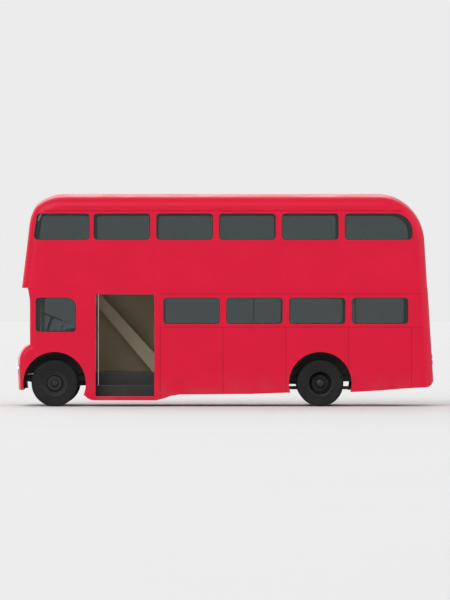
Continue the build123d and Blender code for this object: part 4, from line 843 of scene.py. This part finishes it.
@dataclass
class WindowSeals(Part):
    """Rubber seals round every pane."""

    width: float = 1.156  # width of a bay window
    radius: float = 0.078  # its corner radius
    lower: Pair = (1.687, 2.225)  # sill and head of the lower deck
    upper: Pair = (3.411, 3.946)  # sill and head of the upper deck
    cab: Pair = (1.523, 2.228)  # sill and head of the cab's sides
    section: Profile = (
        (0.0045, -0.002), (0.004, 0.0010), (0.001, 0.0022), (-0.004, 0.0014), (-0.009, -0.005), (-0.012, -0.0165),
        (-0.012, -0.030), (0.001, -0.030), (0.001, -0.002))  # offsets sideways onto the body, and outward
    flush: Profile = (
        (0.001, -0.003), (-0.0002, -0.0006), (-0.004, -0.0002), (-0.009, -0.005), (-0.012, -0.0165), (-0.012, -0.030),
        (0.001, -0.030))  # the same for the lower sides, where nothing stands out past the body's width

    def ring(self, surface: Surface, outline: Array, deck: Deck, sign: float) -> None:
        """Adds one seal.

        Args:
            surface: Where it goes.
            outline: Columns of the elevation's U and V.
            deck: The skin that it lies on.
            sign: Which side or end it is.
        """
        path, normals = Skin(deck, sign).lay(*outline.T)
        tangent = unit(np.roll(path, -1, axis=0) - np.roll(path, 1, axis=0))
        across = unit(np.cross(tangent, normals))
        away = np.sign((across * (path - path.mean(axis=0))).sum())
        section = np.array(self.flush if deck is Deck.LOWER_SIDE else self.section)
        surface.grid(carried(path, across, normals, section * [away, 1.0]), True, True)

    def build(self) -> None:
        """Makes the seals of both decks, both ends and the opening exits."""
        surface = Surface()
        upper = [pane_outline(-3.914, -2.767, *self.upper, self.radius, slant=0.077),
                 pane_outline(2.454, 3.839, *self.upper, self.radius, corner=0.375)]
        upper += [pane_outline(y, y + self.width, *self.upper, self.radius) for y in -2.682 + BAY * np.arange(4)]
        lower = [pane_outline(y, y + self.width, *self.lower, self.radius) for y in -1.255 + BAY * np.arange(4)]
        for _, sign in SIDES:
            for deck, outlines in ((Deck.UPPER_SIDE, upper), (Deck.LOWER_SIDE, lower)):
                for outline in outlines:
                    self.ring(surface, outline, deck, sign)
            for deck, low, high, sill, head, radius in ((Deck.CAB_FRONT, 0.025, 1.080, 1.500, 2.190, 0.060),
                                                        (Deck.UPPER_FRONT, 0.025, 0.940, 3.330, 3.900, 0.080),
                                                        (Deck.LOWER_REAR, 0.430, 0.960, *self.lower, 0.070)):
                outline = pane_outline(*sorted((sign * low, sign * high)), sill, head, radius)
                self.ring(surface, outline, deck, 1.0 if deck is Deck.LOWER_REAR else -1.0)
        self.ring(surface, pane_outline(-3.868, -3.039, *self.cab, self.radius, corner=0.2), Deck.LOWER_SIDE, 1.0)
        self.ring(surface, pane_outline(-0.480, 0.480, 2.640, 2.930, 0.030), Deck.UPPER_FRONT, -1.0)
        self.kit.place(surface, "window_seals", "seal", "tyre")
        for name, body, deck, sign, outline in (
                ("driver_door_seal", "cab_door", Deck.LOWER_SIDE, -1.0, (-3.782, -3.100, *self.cab, self.radius)),
                ("rear_door_seal", "emergency_door", Deck.LOWER_REAR, 1.0, (-0.260, 0.260, *self.lower, 0.070)),
                ("rescue_window_seal", "emergency_window", Deck.UPPER_REAR, 1.0, (-0.540, 0.540, 3.350, 3.840, 0.050))):
            surface = Surface()
            self.ring(surface, pane_outline(*outline), deck, sign)
            self.kit.place(surface, name, "seal", "tyre", body)


@dataclass
class Tyres(Part):
    """Road tyres with a grooved tread, a ribbed shoulder and moulded rings on the side wall."""

    radius: float = 0.475
    width: float = 0.240
    rim: float = 0.254  # radius of the bead
    blocks: int = 60  # tread blocks round it
    steps: int = 8  # points to a block
    grooves: tuple[float, ...] = (-0.046, 0.0, 0.046)  # middles of the ring grooves
    groove_size: Pair = (0.0042, 0.011)  # their half width and depth
    wander: float = 0.0045  # how far they stray from side to side
    cuts: Pair = (0.062, 0.009)  # how far from the middle the cross cuts start, and their depth

    def section(self) -> Array:
        """Round the tyre, from the outer bead over the tread to the inner bead and back.

        Returns:
            Columns of X and radius: the wall, a crown that falls by the fourth power, and the wall again.
        """
        wall = np.array([
            (0.101, self.rim + 0.0005), (0.106, self.rim + 0.012), (0.1145, 0.285), (0.1165, 0.297), (0.1155, 0.301),
            (0.1185, 0.318), (0.1192, 0.338), (0.1180, 0.362), (0.1192, 0.366), (0.1178, 0.385), (0.1166, 0.408),
            (0.1150, 0.428), (0.1115, 0.446), (0.1050, 0.459)])
        crown = np.linspace(0.096, -0.096, 41)
        top = np.stack([crown, self.radius - 0.0005 - 0.006 * (2 * crown / self.width) ** 4], axis=1)
        close = [(x, self.rim + 0.004) for x in (-0.06, 0.0, 0.06)]
        return np.concatenate([wall, top, wall[::-1] * [-1, 1], close])

    def add(self, surface: Surface, x: float, y: float) -> None:
        """Adds one tyre. Its section goes round the axle, and its tread is lowered by three ring grooves that wander
        from side to side as a sine of the angle, and by cross cuts at the shoulders.

        Args:
            surface: Where it goes.
            x: X of the wheel's middle.
            y: Y of its axle.
        """
        across, base = self.section().T
        turns = self.blocks * self.steps
        block = self.blocks * np.linspace(0, 2 * np.pi, turns, endpoint=False)[:, None]
        (half, depth), (start, cut_depth) = self.groove_size, self.cuts
        off = [np.abs(across - middle - self.wander * np.sin(block)) for middle in self.grooves]
        groove = np.clip(1.6 - np.min(off, axis=0) / half, 0, 1) * (base > self.radius - 0.015)
        cut = np.clip(np.cos(block) * 2 - 0.9, 0, 1) * (np.abs(across) > start) * (base > self.radius - 0.035)
        radius = base - depth * groove - cut_depth * cut
        spokes = circle(turns)[:, None] * radius[:, :, None]
        rings = np.concatenate([np.broadcast_to(across[:, None], (*radius.shape, 1)), spokes], axis=2)
        surface.grid(rings + np.array([x, y, AXLE_Z]), True, True)

    def build(self) -> None:
        """Makes the tyres of every wheel body in place of the plain CAD ones."""
        for word, side in SIDES:
            for name, y, places, body, node in (
                    ("front_tyre", FRONT_AXLE_Y, (WHEEL_X,), "front_wheel", "tyre_front"),
                    ("rear_tyres", REAR_AXLE_Y, (WHEEL_X, TWIN_X), "rear_wheels", "tyres_rear")):
                surface = Surface()
                for x in places:
                    self.add(surface, side * x, y)
                piece = self.kit.place(surface, f"{name}_{word}", "tyre", "tyre", f"{body}_{word}")
                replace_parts(piece, f"{node}_{word}")


@dataclass
class WheelFittings(Part):
    """Nuts, studs and hub cap bolts of the wheels, and the lips of their rims."""

    circle: float = 0.1375  # radius of the ring of nuts
    nuts: tuple[int, float, float] = (10, 0.0165, 0.020)  # count, half width and height
    bolts: tuple[int, float, float] = (8, 0.007, 0.006)  # the same of the hub cap's bolts
    lip: Profile = (
        (0.0975, 0.2405), (0.0975, 0.2475), (0.1000, 0.2530), (0.1025, 0.2560), (0.1060, 0.2590), (0.1080, 0.2560),
        (0.1070, 0.2500), (0.1030, 0.2440), (0.1000, 0.2400))

    def build(self) -> None:
        """Adds rings of hexagon nuts with studs, bolted hub cap rings and rim lips to the four wheel stations."""
        for word, side in SIDES:
            for end, body, y, face, cap, cap_ring in (("front", "front_wheel", FRONT_AXLE_Y, 1.105, 1.138, 0.050),
                                                      ("rear", "rear_wheels", REAR_AXLE_Y, 0.915, 1.081, 0.056)):
                nuts, lips = Surface(), Surface()
                for x, ring, (count, size, rise) in ((face, self.circle, self.nuts), (cap, cap_ring, self.bolts)):
                    nut = ((-0.002, 0.0), (-0.002, size), (rise * 0.75, size), (rise, size * 0.8), (rise, size * 0.55),
                           (rise + 0.009, size * 0.52), (rise + 0.011, 0.0))
                    for across, up in ring * circle(count):
                        nuts.lathe(nut, (side * x, y + across, AXLE_Z + up), (side, 0, 0), 6)
                lips.lathe(self.lip, (side * WHEEL_X, y, AXLE_Z), (side, 0, 0), 96, ring=True)
                for surface, name in ((nuts, "nuts"), (lips, "rim_lip")):
                    self.kit.place(surface, f"{end}_{name}_{word}", "wheel_paint", "wheel_paint", f"{body}_{word}",
                                   surface is lips)


class Filling(Enum):
    """How a soft form is made."""

    CLOTH = "cloth under pressure"
    PLAIN = "rounded block"


def seat_rows() -> list[tuple[float, float, int]]:
    """Where the double seats stand.

    Returns:
        Height of the floor, Y and side of each seat, with none beside the stairs on the upper deck.
    """
    rows = [(FLOOR_Z, y) for y in (-0.860, -0.100, 0.660, 2.960, 3.560)]
    rows += [(UPPER_FLOOR_Z, y) for y in -3.560 + 0.8 * np.arange(9)]
    return [(floor, y, side) for floor, y in rows for side in (1, -1)
            if floor == FLOOR_Z or side > 0 or not -3.090 < y < -1.090]


@dataclass
class Upholstery(Part):
    """Padded seats, each form inflated once and set in every place."""

    filling: Filling = Filling.CLOTH
    voxel: float = 0.030  # size of the remesh
    chamfer: float = 0.016  # on the edges of the block that is remeshed
    margin: float = 0.013  # room that the cloth swells into
    plain_margin: float = 0.004  # the same round a block that doesn't swell
    pressure: float = 4.0
    frames: int = 20  # length of the simulation
    cap: float = 0.016  # how far a point may move
    flute: float = 0.142  # width of the sewn flutes
    groove: float = 0.008  # their depth
    fade: Pair = (0.060, 0.050)  # how far from a form's ends and its edges they fade out

    def inflate(self, name: str, low: Point, high: Point) -> tuple[Array, Array]:
        """One soft form, at its own place.

        Args:
            name: A name for its passing objects.
            low: Lowest corner of its room.
            high: Highest corner of its room.

        Returns:
            Vertices and quads of a closed form with pulled-in edges: a box remeshed to voxels, swollen by cloth
            pressure with each move capped, smoothed and subdivided.
        """
        margin = self.margin if self.filling is Filling.CLOTH else self.plain_margin
        surface = Surface()
        surface.box(tuple(np.array(low) + margin), tuple(np.array(high) - margin), self.chamfer)
        block = surface.build(name, self.kit.materials["upholstery"], False)
        remesh = block.modifiers.new("voxels", "REMESH")
        remesh.mode, remesh.voxel_size = "VOXEL", self.voxel
        if self.filling is Filling.CLOTH:
            self.apply(block)
            start = self.coordinates(block)
            cloth = block.modifiers.new("cloth", "CLOTH")
            cloth.settings.use_pressure = True
            cloth.settings.uniform_pressure_force = self.pressure
            cloth.settings.effector_weights.gravity = 0.0
            cloth.point_cache.frame_start, cloth.point_cache.frame_end = 1, self.frames
            for frame in range(1, self.frames + 1):
                bpy.context.scene.frame_set(frame)
            self.apply(block)
            moved = self.coordinates(block) - start
            moved *= np.minimum(1.0, self.cap / np.maximum(np.linalg.norm(moved, axis=1, keepdims=True), 1e-9))
            block.data.vertices.foreach_set("co", (start + moved).ravel())
            bpy.context.scene.frame_set(1)
        smooth = block.modifiers.new("smooth", "SMOOTH")
        smooth.factor, smooth.iterations = 0.5, 2
        finer = block.modifiers.new("finer", "SUBSURF")
        finer.levels = finer.render_levels = 1
        self.apply(block)
        points = self.coordinates(block)
        quads = np.empty(len(block.data.polygons) * 4, dtype=np.int64)
        block.data.polygons.foreach_get("vertices", quads)
        bpy.data.objects.remove(block)
        return points, quads.reshape(-1, 4)

    @staticmethod
    def apply(piece: Piece) -> None:
        """Bakes modifiers into a mesh.

        Args:
            piece: The piece that has them.
        """
        mesh = bpy.data.meshes.new_from_object(piece.evaluated_get(bpy.context.evaluated_depsgraph_get()))
        piece.modifiers.clear()
        piece.data = mesh

    @staticmethod
    def coordinates(piece: Piece) -> Array:
        """Reads a mesh's vertices.

        Args:
            piece: The piece whose mesh it is.

        Returns:
            Their places as rows.
        """
        flat = np.empty(len(piece.data.vertices) * 3)
        piece.data.vertices.foreach_get("co", flat)
        return flat.reshape(-1, 3)

    def fluted(self, points: Array, low: Point, high: Point, face: int, sign: float) -> Array:
        """Sews flutes into one face of a form.

        Args:
            points: Its vertices.
            low: Lowest corner of its room.
            high: Highest corner of its room.
            face: Axis of the face, 1 for Y or 2 for Z.
            sign: Which way the face looks.

        Returns:
            Vertices moved inwards near the seams: the depth is a power of the cosine across the flutes, and it
            fades out towards the form's edges and its far side.
        """
        low, high = np.array(low), np.array(high)
        seam = np.abs(np.cos(np.pi * (points[:, 0] - (low[0] + high[0]) / 2) / self.flute)) ** 6
        inset = np.minimum(points - low, high - points)
        ends, edges = self.fade
        fade = np.clip(inset[:, 3 - face] / edges, 0.0, 1.0) * np.clip(inset[:, 0] / ends, 0.0, 1.0)
        outer = sign * (2 * points[:, face] - low[face] - high[face]) / (high[face] - low[face])
        moved = points.copy()
        moved[:, face] -= sign * self.groove * seam * fade * np.clip(outer, 0.0, 1.0)
        return moved

    def seat(self, name: str, x0: float, x1: float) -> list[tuple[Array, Array]]:
        """Cushion and squab of a forward-facing seat at Y 0 and floor height 0, the squab leant back by its height.

        Args:
            name: A name for its passing objects.
            x0: Its near end.
            x1: Its far end.

        Returns:
            Two forms.
        """
        forms = []
        for part, low, high, face, sign, lean in (
                ("cushion", (x0, -0.200, 0.330), (x1, 0.150, 0.430), 2, 1.0, 0.0),
                ("squab", (x0, 0.157, 0.432), (x1, 0.224, 0.880), 1, -1.0, 0.058)):
            points, faces = self.inflate(f"{name}_{part}", low, high)
            points = self.fluted(points, low, high, face, sign)
            points[:, 1] += lean * (points[:, 2] - low[2]) / (high[2] - low[2])
            forms.append((points, faces))
        return forms

    def build(self) -> None:
        """Makes the seats of both decks, the rear bench, the wheel-box benches and the driver's seat."""
        lower, near, off = Surface(), Surface(), Surface()
        double, bench = self.seat("double", 0.275, 1.130), self.seat("rear_bench", -1.040, 1.040)
        places = [(lower if floor == FLOOR_Z else near if side > 0 else off, form, (0, y, floor), side)
                  for floor, y, side in seat_rows() for form in double]
        places += [(off, form, (0, 3.685, UPPER_FLOOR_Z), 1) for form in bench]
        for name, low, high, sides in (
                ("box_seat", (0.620, 1.380, 1.145), (1.040, 2.530, 1.225), (1, -1)),
                ("box_back", (1.040, 1.380, 1.225), (1.120, 2.530, 1.573), (1, -1)),
                ("driver_seat", (-0.930, -3.260, 1.495), (-0.470, -2.900, 1.585), (1,)),
                ("driver_back", (-0.930, -2.900, 1.565), (-0.470, -2.820, 2.045), (1,))):
            form = self.inflate(name, low, high)
            places += [(lower, form, (0, 0, 0), side) for side in sides]
        for surface, (points, faces), shift, side in places:
            surface.add(points * [side, 1, 1] + np.array(shift), faces[:, ::side])
        for name, surface in (("seats_lower_deck", lower), ("seats_upper_left", near), ("seats_upper_right", off)):
            piece = self.kit.place(surface, name, "upholstery", "upholstery")
            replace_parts(piece, "seat_cushions")


@dataclass
class Lamps(Part):
    """Headlamps with bright bowls and fluted lenses, and bezels round the tail lamps."""

    spread: float = 0.800  # distance of the headlamps from the middle
    height: float = 0.760
    face: float = -4.210  # Y of their bezels' seat
    glass: float = 0.092  # radius of a headlamp's lens
    dome: tuple[float, float, float] = (0.010, 0.018, 0.016)  # where its back and its rim lie, and its bulge
    rib: Pair = (0.0012, 0.014)  # height and pitch of its ribs

    def lens(self, surface: Surface, x: float) -> None:
        """Adds one headlamp lens: a shallow dome, ribbed by a sine across X, with a flat back.

        Args:
            surface: Where it goes.
            x: Its middle.
        """
        radius = np.concatenate([np.linspace(0.0005, self.glass, 22), np.linspace(self.glass, 0.0005, 12)])
        across, up = radius * circle(96).T[:, :, None]
        column = np.arange(len(radius))
        (back, rim, bulge), (height, pitch) = self.dome, self.rib
        ribs = height * np.sin(across * 2 * np.pi / pitch) * (column < 21)
        out = np.where(column < 22, rim + bulge * (1 - (radius / self.glass) ** 2) + ribs, back)
        surface.grid(np.stack([x + across, self.face - out, self.height + up], axis=-1), True, False)

    def build(self) -> None:
        """Makes bowls, lenses, bulbs and bezels."""
        bowls, lenses, trims = Surface(), Surface(), Surface()
        t = np.linspace(0.0, 1.0, 14)
        inner = np.stack([-0.052 + 0.064 * t**2, 0.012 + 0.080 * t], axis=1)
        outer = [(0.012, 0.1045), (-0.060, 0.1045), (-0.068, 0.090), (-0.068, 0.0)]
        bowl = np.concatenate([[(-0.050, 0.0)], inner, outer])
        bezel = [(0.004, 0.0925), (0.026, 0.0925), (0.032, 0.0965), (0.031, 0.1010), (0.022, 0.1048), (0.004, 0.1048)]
        bulb = [(-0.046, 0.0), (-0.046, 0.008), (-0.030, 0.008), (-0.022, 0.013), (-0.008, 0.012), (-0.001, 0.006),
                (0.0, 0.0)]
        for x in (-self.spread, self.spread):
            for surface, profile, steps in ((bowls, bowl, 48), (trims, bezel, 64), (trims, bulb, 16)):
                surface.lathe(profile, (x, self.face, self.height), (0, -1, 0), steps, ring=profile is bezel)
            self.lens(lenses, x)
        for surface, name, finish in ((bowls, "headlamp_bowls", "reflector"), (lenses, "headlamp_lenses", "lamp")):
            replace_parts(self.kit.place(surface, name, finish, "lamp"), "headlamps")
        ring = [(-0.004, 0.0425), (0.006, 0.0425), (0.010, 0.0455), (0.008, 0.0495), (-0.004, 0.0515)]
        x, z = np.array([(x, z) for x in (-1.020, 1.020) for z in (0.900, 1.020)]).T
        for centre, normal in zip(*Skin(Deck.LOWER_REAR).lay(x, z)):
            trims.lathe(ring, tuple(centre), tuple(normal), 40, ring=True)
        self.kit.place(trims, "lamp_bezels", "bright", "grille_metal")


@dataclass
class OutsideFittings(Part):
    """Beading, gutters, wipers, handles and filler cap on the body."""

    bead: Pair = (0.009, 0.0028)  # half width and rise of the panel beading
    gutter: Pair = (0.008, 0.013)  # the same of the roof gutters

    @staticmethod
    def strip(surface: Surface, sign: float, u: Array, v: Array, size: tuple[float, float]) -> None:
        """Adds a half-round strip along a line on an upper side.

        Args:
            surface: Where it goes.
            sign: Which side.
            u: U of the line's points.
            v: V of the line's points.
            size: Its half width and rise.
        """
        path, normals = Skin(Deck.UPPER_SIDE, sign).lay(u, v)
        turn = np.linspace(0, np.pi, 7)
        arch = np.stack([np.cos(turn), np.sin(turn)], axis=1) * size
        section = np.concatenate([arch, [(-size[0], -0.002), (size[0], -0.002)]])
        across = np.cross(unit(np.gradient(path, axis=0)), normals)
        surface.bar(carried(path, across, normals, section), path, 0.05)

    def panels(self) -> None:
        """Adds the beading over the joints of the upper side panels, and the roof gutters."""
        beads, gutters = Surface(), Surface()
        for _, sign in SIDES:
            self.strip(beads, sign, np.linspace(-3.990, 3.780, 81), np.full(81, 3.352), self.bead)
            self.strip(gutters, sign, np.linspace(-3.690, 3.620, 9), np.full(9, 4.012), self.gutter)
            for y in -2.724 + BAY * np.arange(5):
                self.strip(beads, sign, np.full(10, y), np.linspace(2.570, 3.345, 10), self.bead)
        for surface, name in ((beads, "panel_beading"), (gutters, "roof_gutters")):
            self.kit.place(surface, name, "trim", "bodywork")

    def wipers(self) -> None:
        """Adds a wiper to each windscreen: a spindle, a bent arm and a sprung blade."""
        surface = Surface()
        spindle = [(0.0, 0.0), (0.0, 0.016), (0.012, 0.014), (0.020, 0.008), (0.022, 0.0)]
        for x, tip in ((-0.55, -0.78), (0.50, 0.27)):
            surface.lathe(spindle, (x, CAB_FACE_Y, 1.455), (0, -1, 0), 16)
            middle = ((x + tip) / 2, -4.0060, 1.640)
            surface.tube(bend([(x, -4.0020, 1.455), middle, (tip, -4.0030, 1.800)], 0.06), 0.0045, 8)
            reach = np.linspace(-0.21, 0.21, 8)
            surface.tube(np.stack([tip + reach * 0.35, np.full(8, -3.9935), 1.800 + reach], axis=1), 0.0055, 6)
        self.kit.place(surface, "windscreen_wipers", "fitting", "chassis_paint")

    def handles(self) -> None:
        """Adds the handles of the driver's door and the rear door, and the filler cap."""
        plate = [(0.0, 0.0), (0.0, 0.026), (0.003, 0.025), (0.005, 0.018), (0.007, 0.012), (0.007, 0.0)]
        y = REAR_FACE_Y - (1.400 - REAR_FACE_Z) * REAR_RAKE
        for name, body, centre, axis, grip, radius, size in (
                ("driver_door_handle", "cab_door", (-HALF_WIDTH, -3.095, 1.400), (-1, 0, 0),
                 [(-1.224, -3.095, 1.400), (-1.2285, -3.105, 1.400), (-1.2285, -3.210, 1.392)], 0.003, 0.0048),
                ("rear_door_handle", "emergency_door", (0.285, y, 1.400), (0, 1, 0.06),
                 [(0.285, y + 0.004, 1.400), (0.285, y + 0.028, 1.400), (0.180, y + 0.028, 1.396)], 0.012, 0.0065)):
            surface = Surface()
            surface.lathe(plate, centre, axis, 24)
            surface.tube(bend(grip, radius), size, 8)
            self.kit.place(surface, name, "bright", "grille_metal", body)
        surface = Surface()
        cap = [(0.0, 0.0), (0.0, 0.056), (0.004, 0.055), (0.008, 0.046), (0.0115, 0.044), (0.013, 0.038), (0.013, 0.0)]
        surface.lathe(cap, (-1.2195, -0.650, 0.900), (-1, 0, 0), 36)
        self.kit.place(surface, "fuel_filler_cap", "trim", "bodywork")

    def build(self) -> None:
        """Makes every outside fitting."""
        self.panels()
        self.wipers()
        self.handles()


@dataclass
class SaloonFittings(Part):
    """Grab rails on the seats, the blind, ceiling lamps, nosings and the driver's controls."""

    blind_z: float = 2.785  # height of the blind's middle
    rises: int = 9  # of the stairs
    going: float = 0.175  # from one stair to the next
    dash: Pair = (-3.884, 1.405)  # Y and Z of its middle
    dash_size: Pair = (0.055, 0.060)  # half its depth and height

    def grab_rails(self) -> None:
        """Adds a bent rail along the top of every seat back."""
        surface = Surface()
        corners = ((0.300, 0.880), (0.300, 0.925), (1.105, 0.925), (1.105, 0.880))
        for floor, y, side in seat_rows():
            surface.tube(bend([(side * x, y + 0.291, floor + z) for x, z in corners], 0.035, 6), 0.0125, 10)
        self.kit.place(surface, "seat_grab_rails", "rail_steel", "rail_steel")

    @staticmethod
    def span(surface: Surface, x: Array, section: Array, more: int) -> None:
        """Adds a bar across the bus.

        Args:
            surface: Where it goes.
            x: X of its rings.
            section: Columns of Y and Z.
            more: 1 where it gets end rings of its own.
        """
        rings = np.stack([np.concatenate([np.full((len(section), 1), place), section], axis=1) for place in x])
        surface.bar(rings, rings.mean(axis=1), 0.02, more)

    def blind(self) -> None:
        """Adds a plain linen blind on its two rollers behind the blind pane. Its sections are columns of depth from the
        wall's inner face, negative into the saloon, and height from the middle, and they follow the front's rake."""
        linen = Surface()
        rollers = [np.array(centre) + radius * circle(24) for centre, radius in (((-0.020, 0.165), 0.022),
                                                                                ((-0.016, -0.165), 0.018))]
        sheet = np.array([(0.001, 0.160), (0.001, -0.160), (-0.003, -0.160), (-0.003, 0.160)])
        for out, rise in (part.T for part in (*rollers, sheet)):
            z = self.blind_z + rise
            wall = Skin(Deck.UPPER_FRONT).depth(np.zeros(1), z) - WALL
            self.span(linen, np.linspace(-0.500, 0.500, 5), np.stack([-(wall + out), z], axis=1), 1)
        self.kit.place(linen, "blind_linen", "blind", "upholstery")

    def ceiling(self) -> None:
        """Adds a row of lamp globes on each side of both ceilings."""
        surface = Surface()
        turn = np.linspace(np.pi / 2, 0, 8)
        dome = np.stack([0.010 + 0.038 * np.cos(turn), 0.060 * np.sin(turn)], axis=1)
        globe = np.concatenate([[(0.0, 0.0), (0.0, 0.072), (0.008, 0.072), (0.010, 0.062)], dome])
        for x in (-0.520, 0.520):
            for first, count, z in ((-0.613, 4, WAIST_Z), (-2.104, 5, ROOF_Z - WALL - x * x / (2 * CAMBER_RADIUS))):
                for y in first + BAY * np.arange(count):
                    surface.lathe(globe, (x, y, z), (0, 0, -1), 24)
        self.kit.place(surface, "ceiling_lamps", "globe", "lining")

    def nosings(self) -> None:
        """Adds bright nosings to the entrance steps and the stair treads."""
        surface = Surface()
        rise = (UPPER_FLOOR_Z - FLOOR_Z) / self.rises
        steps = ((1.150, 0.207), (0.762, 0.425), (0.482, FLOOR_Z))
        places = [(x - 0.002, x + 0.022, -2.735, -1.345, z) for x, z in steps]
        for i in range(1, self.rises):
            y = -1.340 - (i - 1) * self.going + (0.020 if i > 1 else 0.0)
            places.append((-1.136, -0.644, y - 0.028, y + 0.0015, FLOOR_Z + i * rise))
        for x0, x1, y0, y1, z in places:
            surface.box((x0, y0, z), (x1, y1, z + 0.003), 0.001)
        self.kit.place(surface, "step_nosings", "bright", "grille_metal", smooth=False)

    def controls(self) -> None:
        """Adds the driver's dash, a superellipse in section, with its dials, the pedals, gear lever and hand brake."""
        surface, dials = Surface(), Surface()
        turn = circle(20)
        section = np.array(self.dash) + self.dash_size * np.sign(turn) * np.abs(turn) ** 0.45
        self.span(surface, np.linspace(-1.120, -0.280, 24), section, 0)
        for x, z in ((-0.86, 1.245), (-0.70, 1.245), (-0.55, 1.235)):
            surface.tube(bend([(x, -3.895, 1.360), (x, -3.845, z + 0.02), (x, -3.820, z)], 0.02), 0.008, 8)
            surface.box((x - 0.035, -3.822, z - 0.045), (x + 0.035, -3.808, z + 0.035), 0.004)
        knob = [(-0.024, 0.0), (-0.024, 0.012), (-0.010, 0.024), (0.010, 0.026), (0.024, 0.014), (0.028, 0.0)]
        for x, y, top in ((-0.400, -3.420, 1.640), (-1.060, -3.350, 1.560)):
            end = (x + 0.02, y + 0.05, top)
            surface.tube(bend([(x, y, CAB_FLOOR_Z), (x, y, 1.350), end], 0.08), 0.009, 10)
            surface.lathe(knob, end, (0, 0.1, 1), 20)
        self.kit.place(surface, "driver_controls", "fitting", "steering_plastic")
        bezel = [(0.0, 0.0), (0.0, 0.036), (0.006, 0.038), (0.010, 0.034), (0.006, 0.031), (0.004, 0.0)]
        for x in (-0.82, -0.70, -0.58):
            dials.lathe(bezel, (x, self.dash[0] + 0.053, self.dash[1] + 0.020), (0, 1, 0.1), 32)
        self.kit.place(dials, "dash_dials", "bright", "grille_metal")

    def build(self) -> None:
        """Makes every inside fitting."""
        self.grab_rails()
        self.blind()
        self.ceiling()
        self.nosings()
        self.controls()


@dataclass
class Studio:
    """Pale floor, soft light and the camera at the picture's viewing angle."""

    distance: float = 103.4  # from the middle of the bus, long so that the view is almost a plain elevation
    height: float = 2.177
    focal: float = 300.0  # focal length in millimetres
    reach: float = 400.0  # half width of the floor
    world: Pair = (0.55, 0.285)  # strength of the world's light, and how much more of it the eye sees
    suns: tuple[tuple[str, Point, float, float], ...] = (  # name, direction, spread in degrees and power
        ("key", (9.0, -5.0, 7.0), 50.0, 1.5), ("fill", (-9.0, -4.0, 4.5), 60.0, 1.0),
        ("rear", (3.0, 11.0, 4.5), 60.0, 0.8))

    def floor(self) -> None:
        """Lays a wide pale floor whose tone drifts a little."""
        edge = np.linspace(-self.reach, self.reach, 9)
        x, y = np.meshgrid(edge, edge, indexing="ij")
        surface = Surface()
        surface.add(np.stack([x, y, np.full_like(x, -0.0005)], axis=-1), grid_faces(9, 9, False, False))
        finish = Finish("studio_floor")
        material, graph, where, _ = finish.start()
        tone = graph.ramp(graph.noise(where, 0.15, 2.0), 0.3, 0.7, 0.755, 0.761)
        grey = graph.add("CombineColor", dict.fromkeys(range(3), tone)).outputs[0]
        surface.build("studio_floor", finish.end(material, {"Base Color": grey, "Roughness": 0.9}), False)

    def lights(self) -> None:
        """Hangs three wide soft suns and a pale world, which together light a surface at about strength 1."""
        for name, place, spread, power in self.suns:
            data = bpy.data.lights.new(name, "SUN")
            data.angle, data.energy = math.radians(spread), power
            lamp = bpy.data.objects.new(name, data)
            lamp.location = place
            lamp.rotation_euler = Vector(place).to_track_quat("Z", "Y").to_euler()
            bpy.context.scene.collection.objects.link(lamp)
        world = bpy.data.worlds.new("studio")
        bpy.context.scene.world = world
        world.use_nodes = True
        graph = Graph(world.node_tree)
        path = graph.add("LightPath").outputs
        through = graph.math("MAXIMUM", path["Is Glossy Ray"], path["Is Transmission Ray"])
        seen = graph.math("MAXIMUM", path["Is Camera Ray"], through)
        light, more = self.world
        graph.feed(world.node_tree.nodes["Background"], {"Color": (1.0, 1.0, 1.0, 1.0),
                                                         "Strength": graph.math("MULTIPLY_ADD", seen, more, light)})

    def camera(self) -> None:
        """Sets the long-lens camera square to the near side."""
        data = bpy.data.cameras.new("camera")
        data.lens, data.sensor_width, data.sensor_fit, data.clip_end = self.focal, 36.0, "AUTO", 2000.0
        camera = bpy.data.objects.new("camera", data)
        camera.location = (self.distance, 0.005, self.height)
        camera.rotation_euler = (math.pi / 2, 0.0, math.pi / 2)
        bpy.context.scene.collection.objects.link(camera)
        bpy.context.scene.camera = camera

    def build(self) -> None:
        """Sets up the whole studio."""
        self.floor()
        self.lights()
        self.camera()
        bpy.context.scene.view_settings.view_transform = "Standard"


def main() -> None:
    """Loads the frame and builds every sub-assembly in order."""
    logging.basicConfig(level=logging.INFO, format="%(name)s %(message)s")
    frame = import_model()
    kit = Kit(frame)
    filling = Filling.CLOTH
    for part in (Finisher(kit), WindowSeals(kit), Tyres(kit), WheelFittings(kit), Upholstery(kit, filling), Lamps(kit),
                 OutsideFittings(kit), SaloonFittings(kit), Studio()):
        part.build()
        LOG.info("built %s", type(part).__name__)


if __name__ == "__main__":
    main()
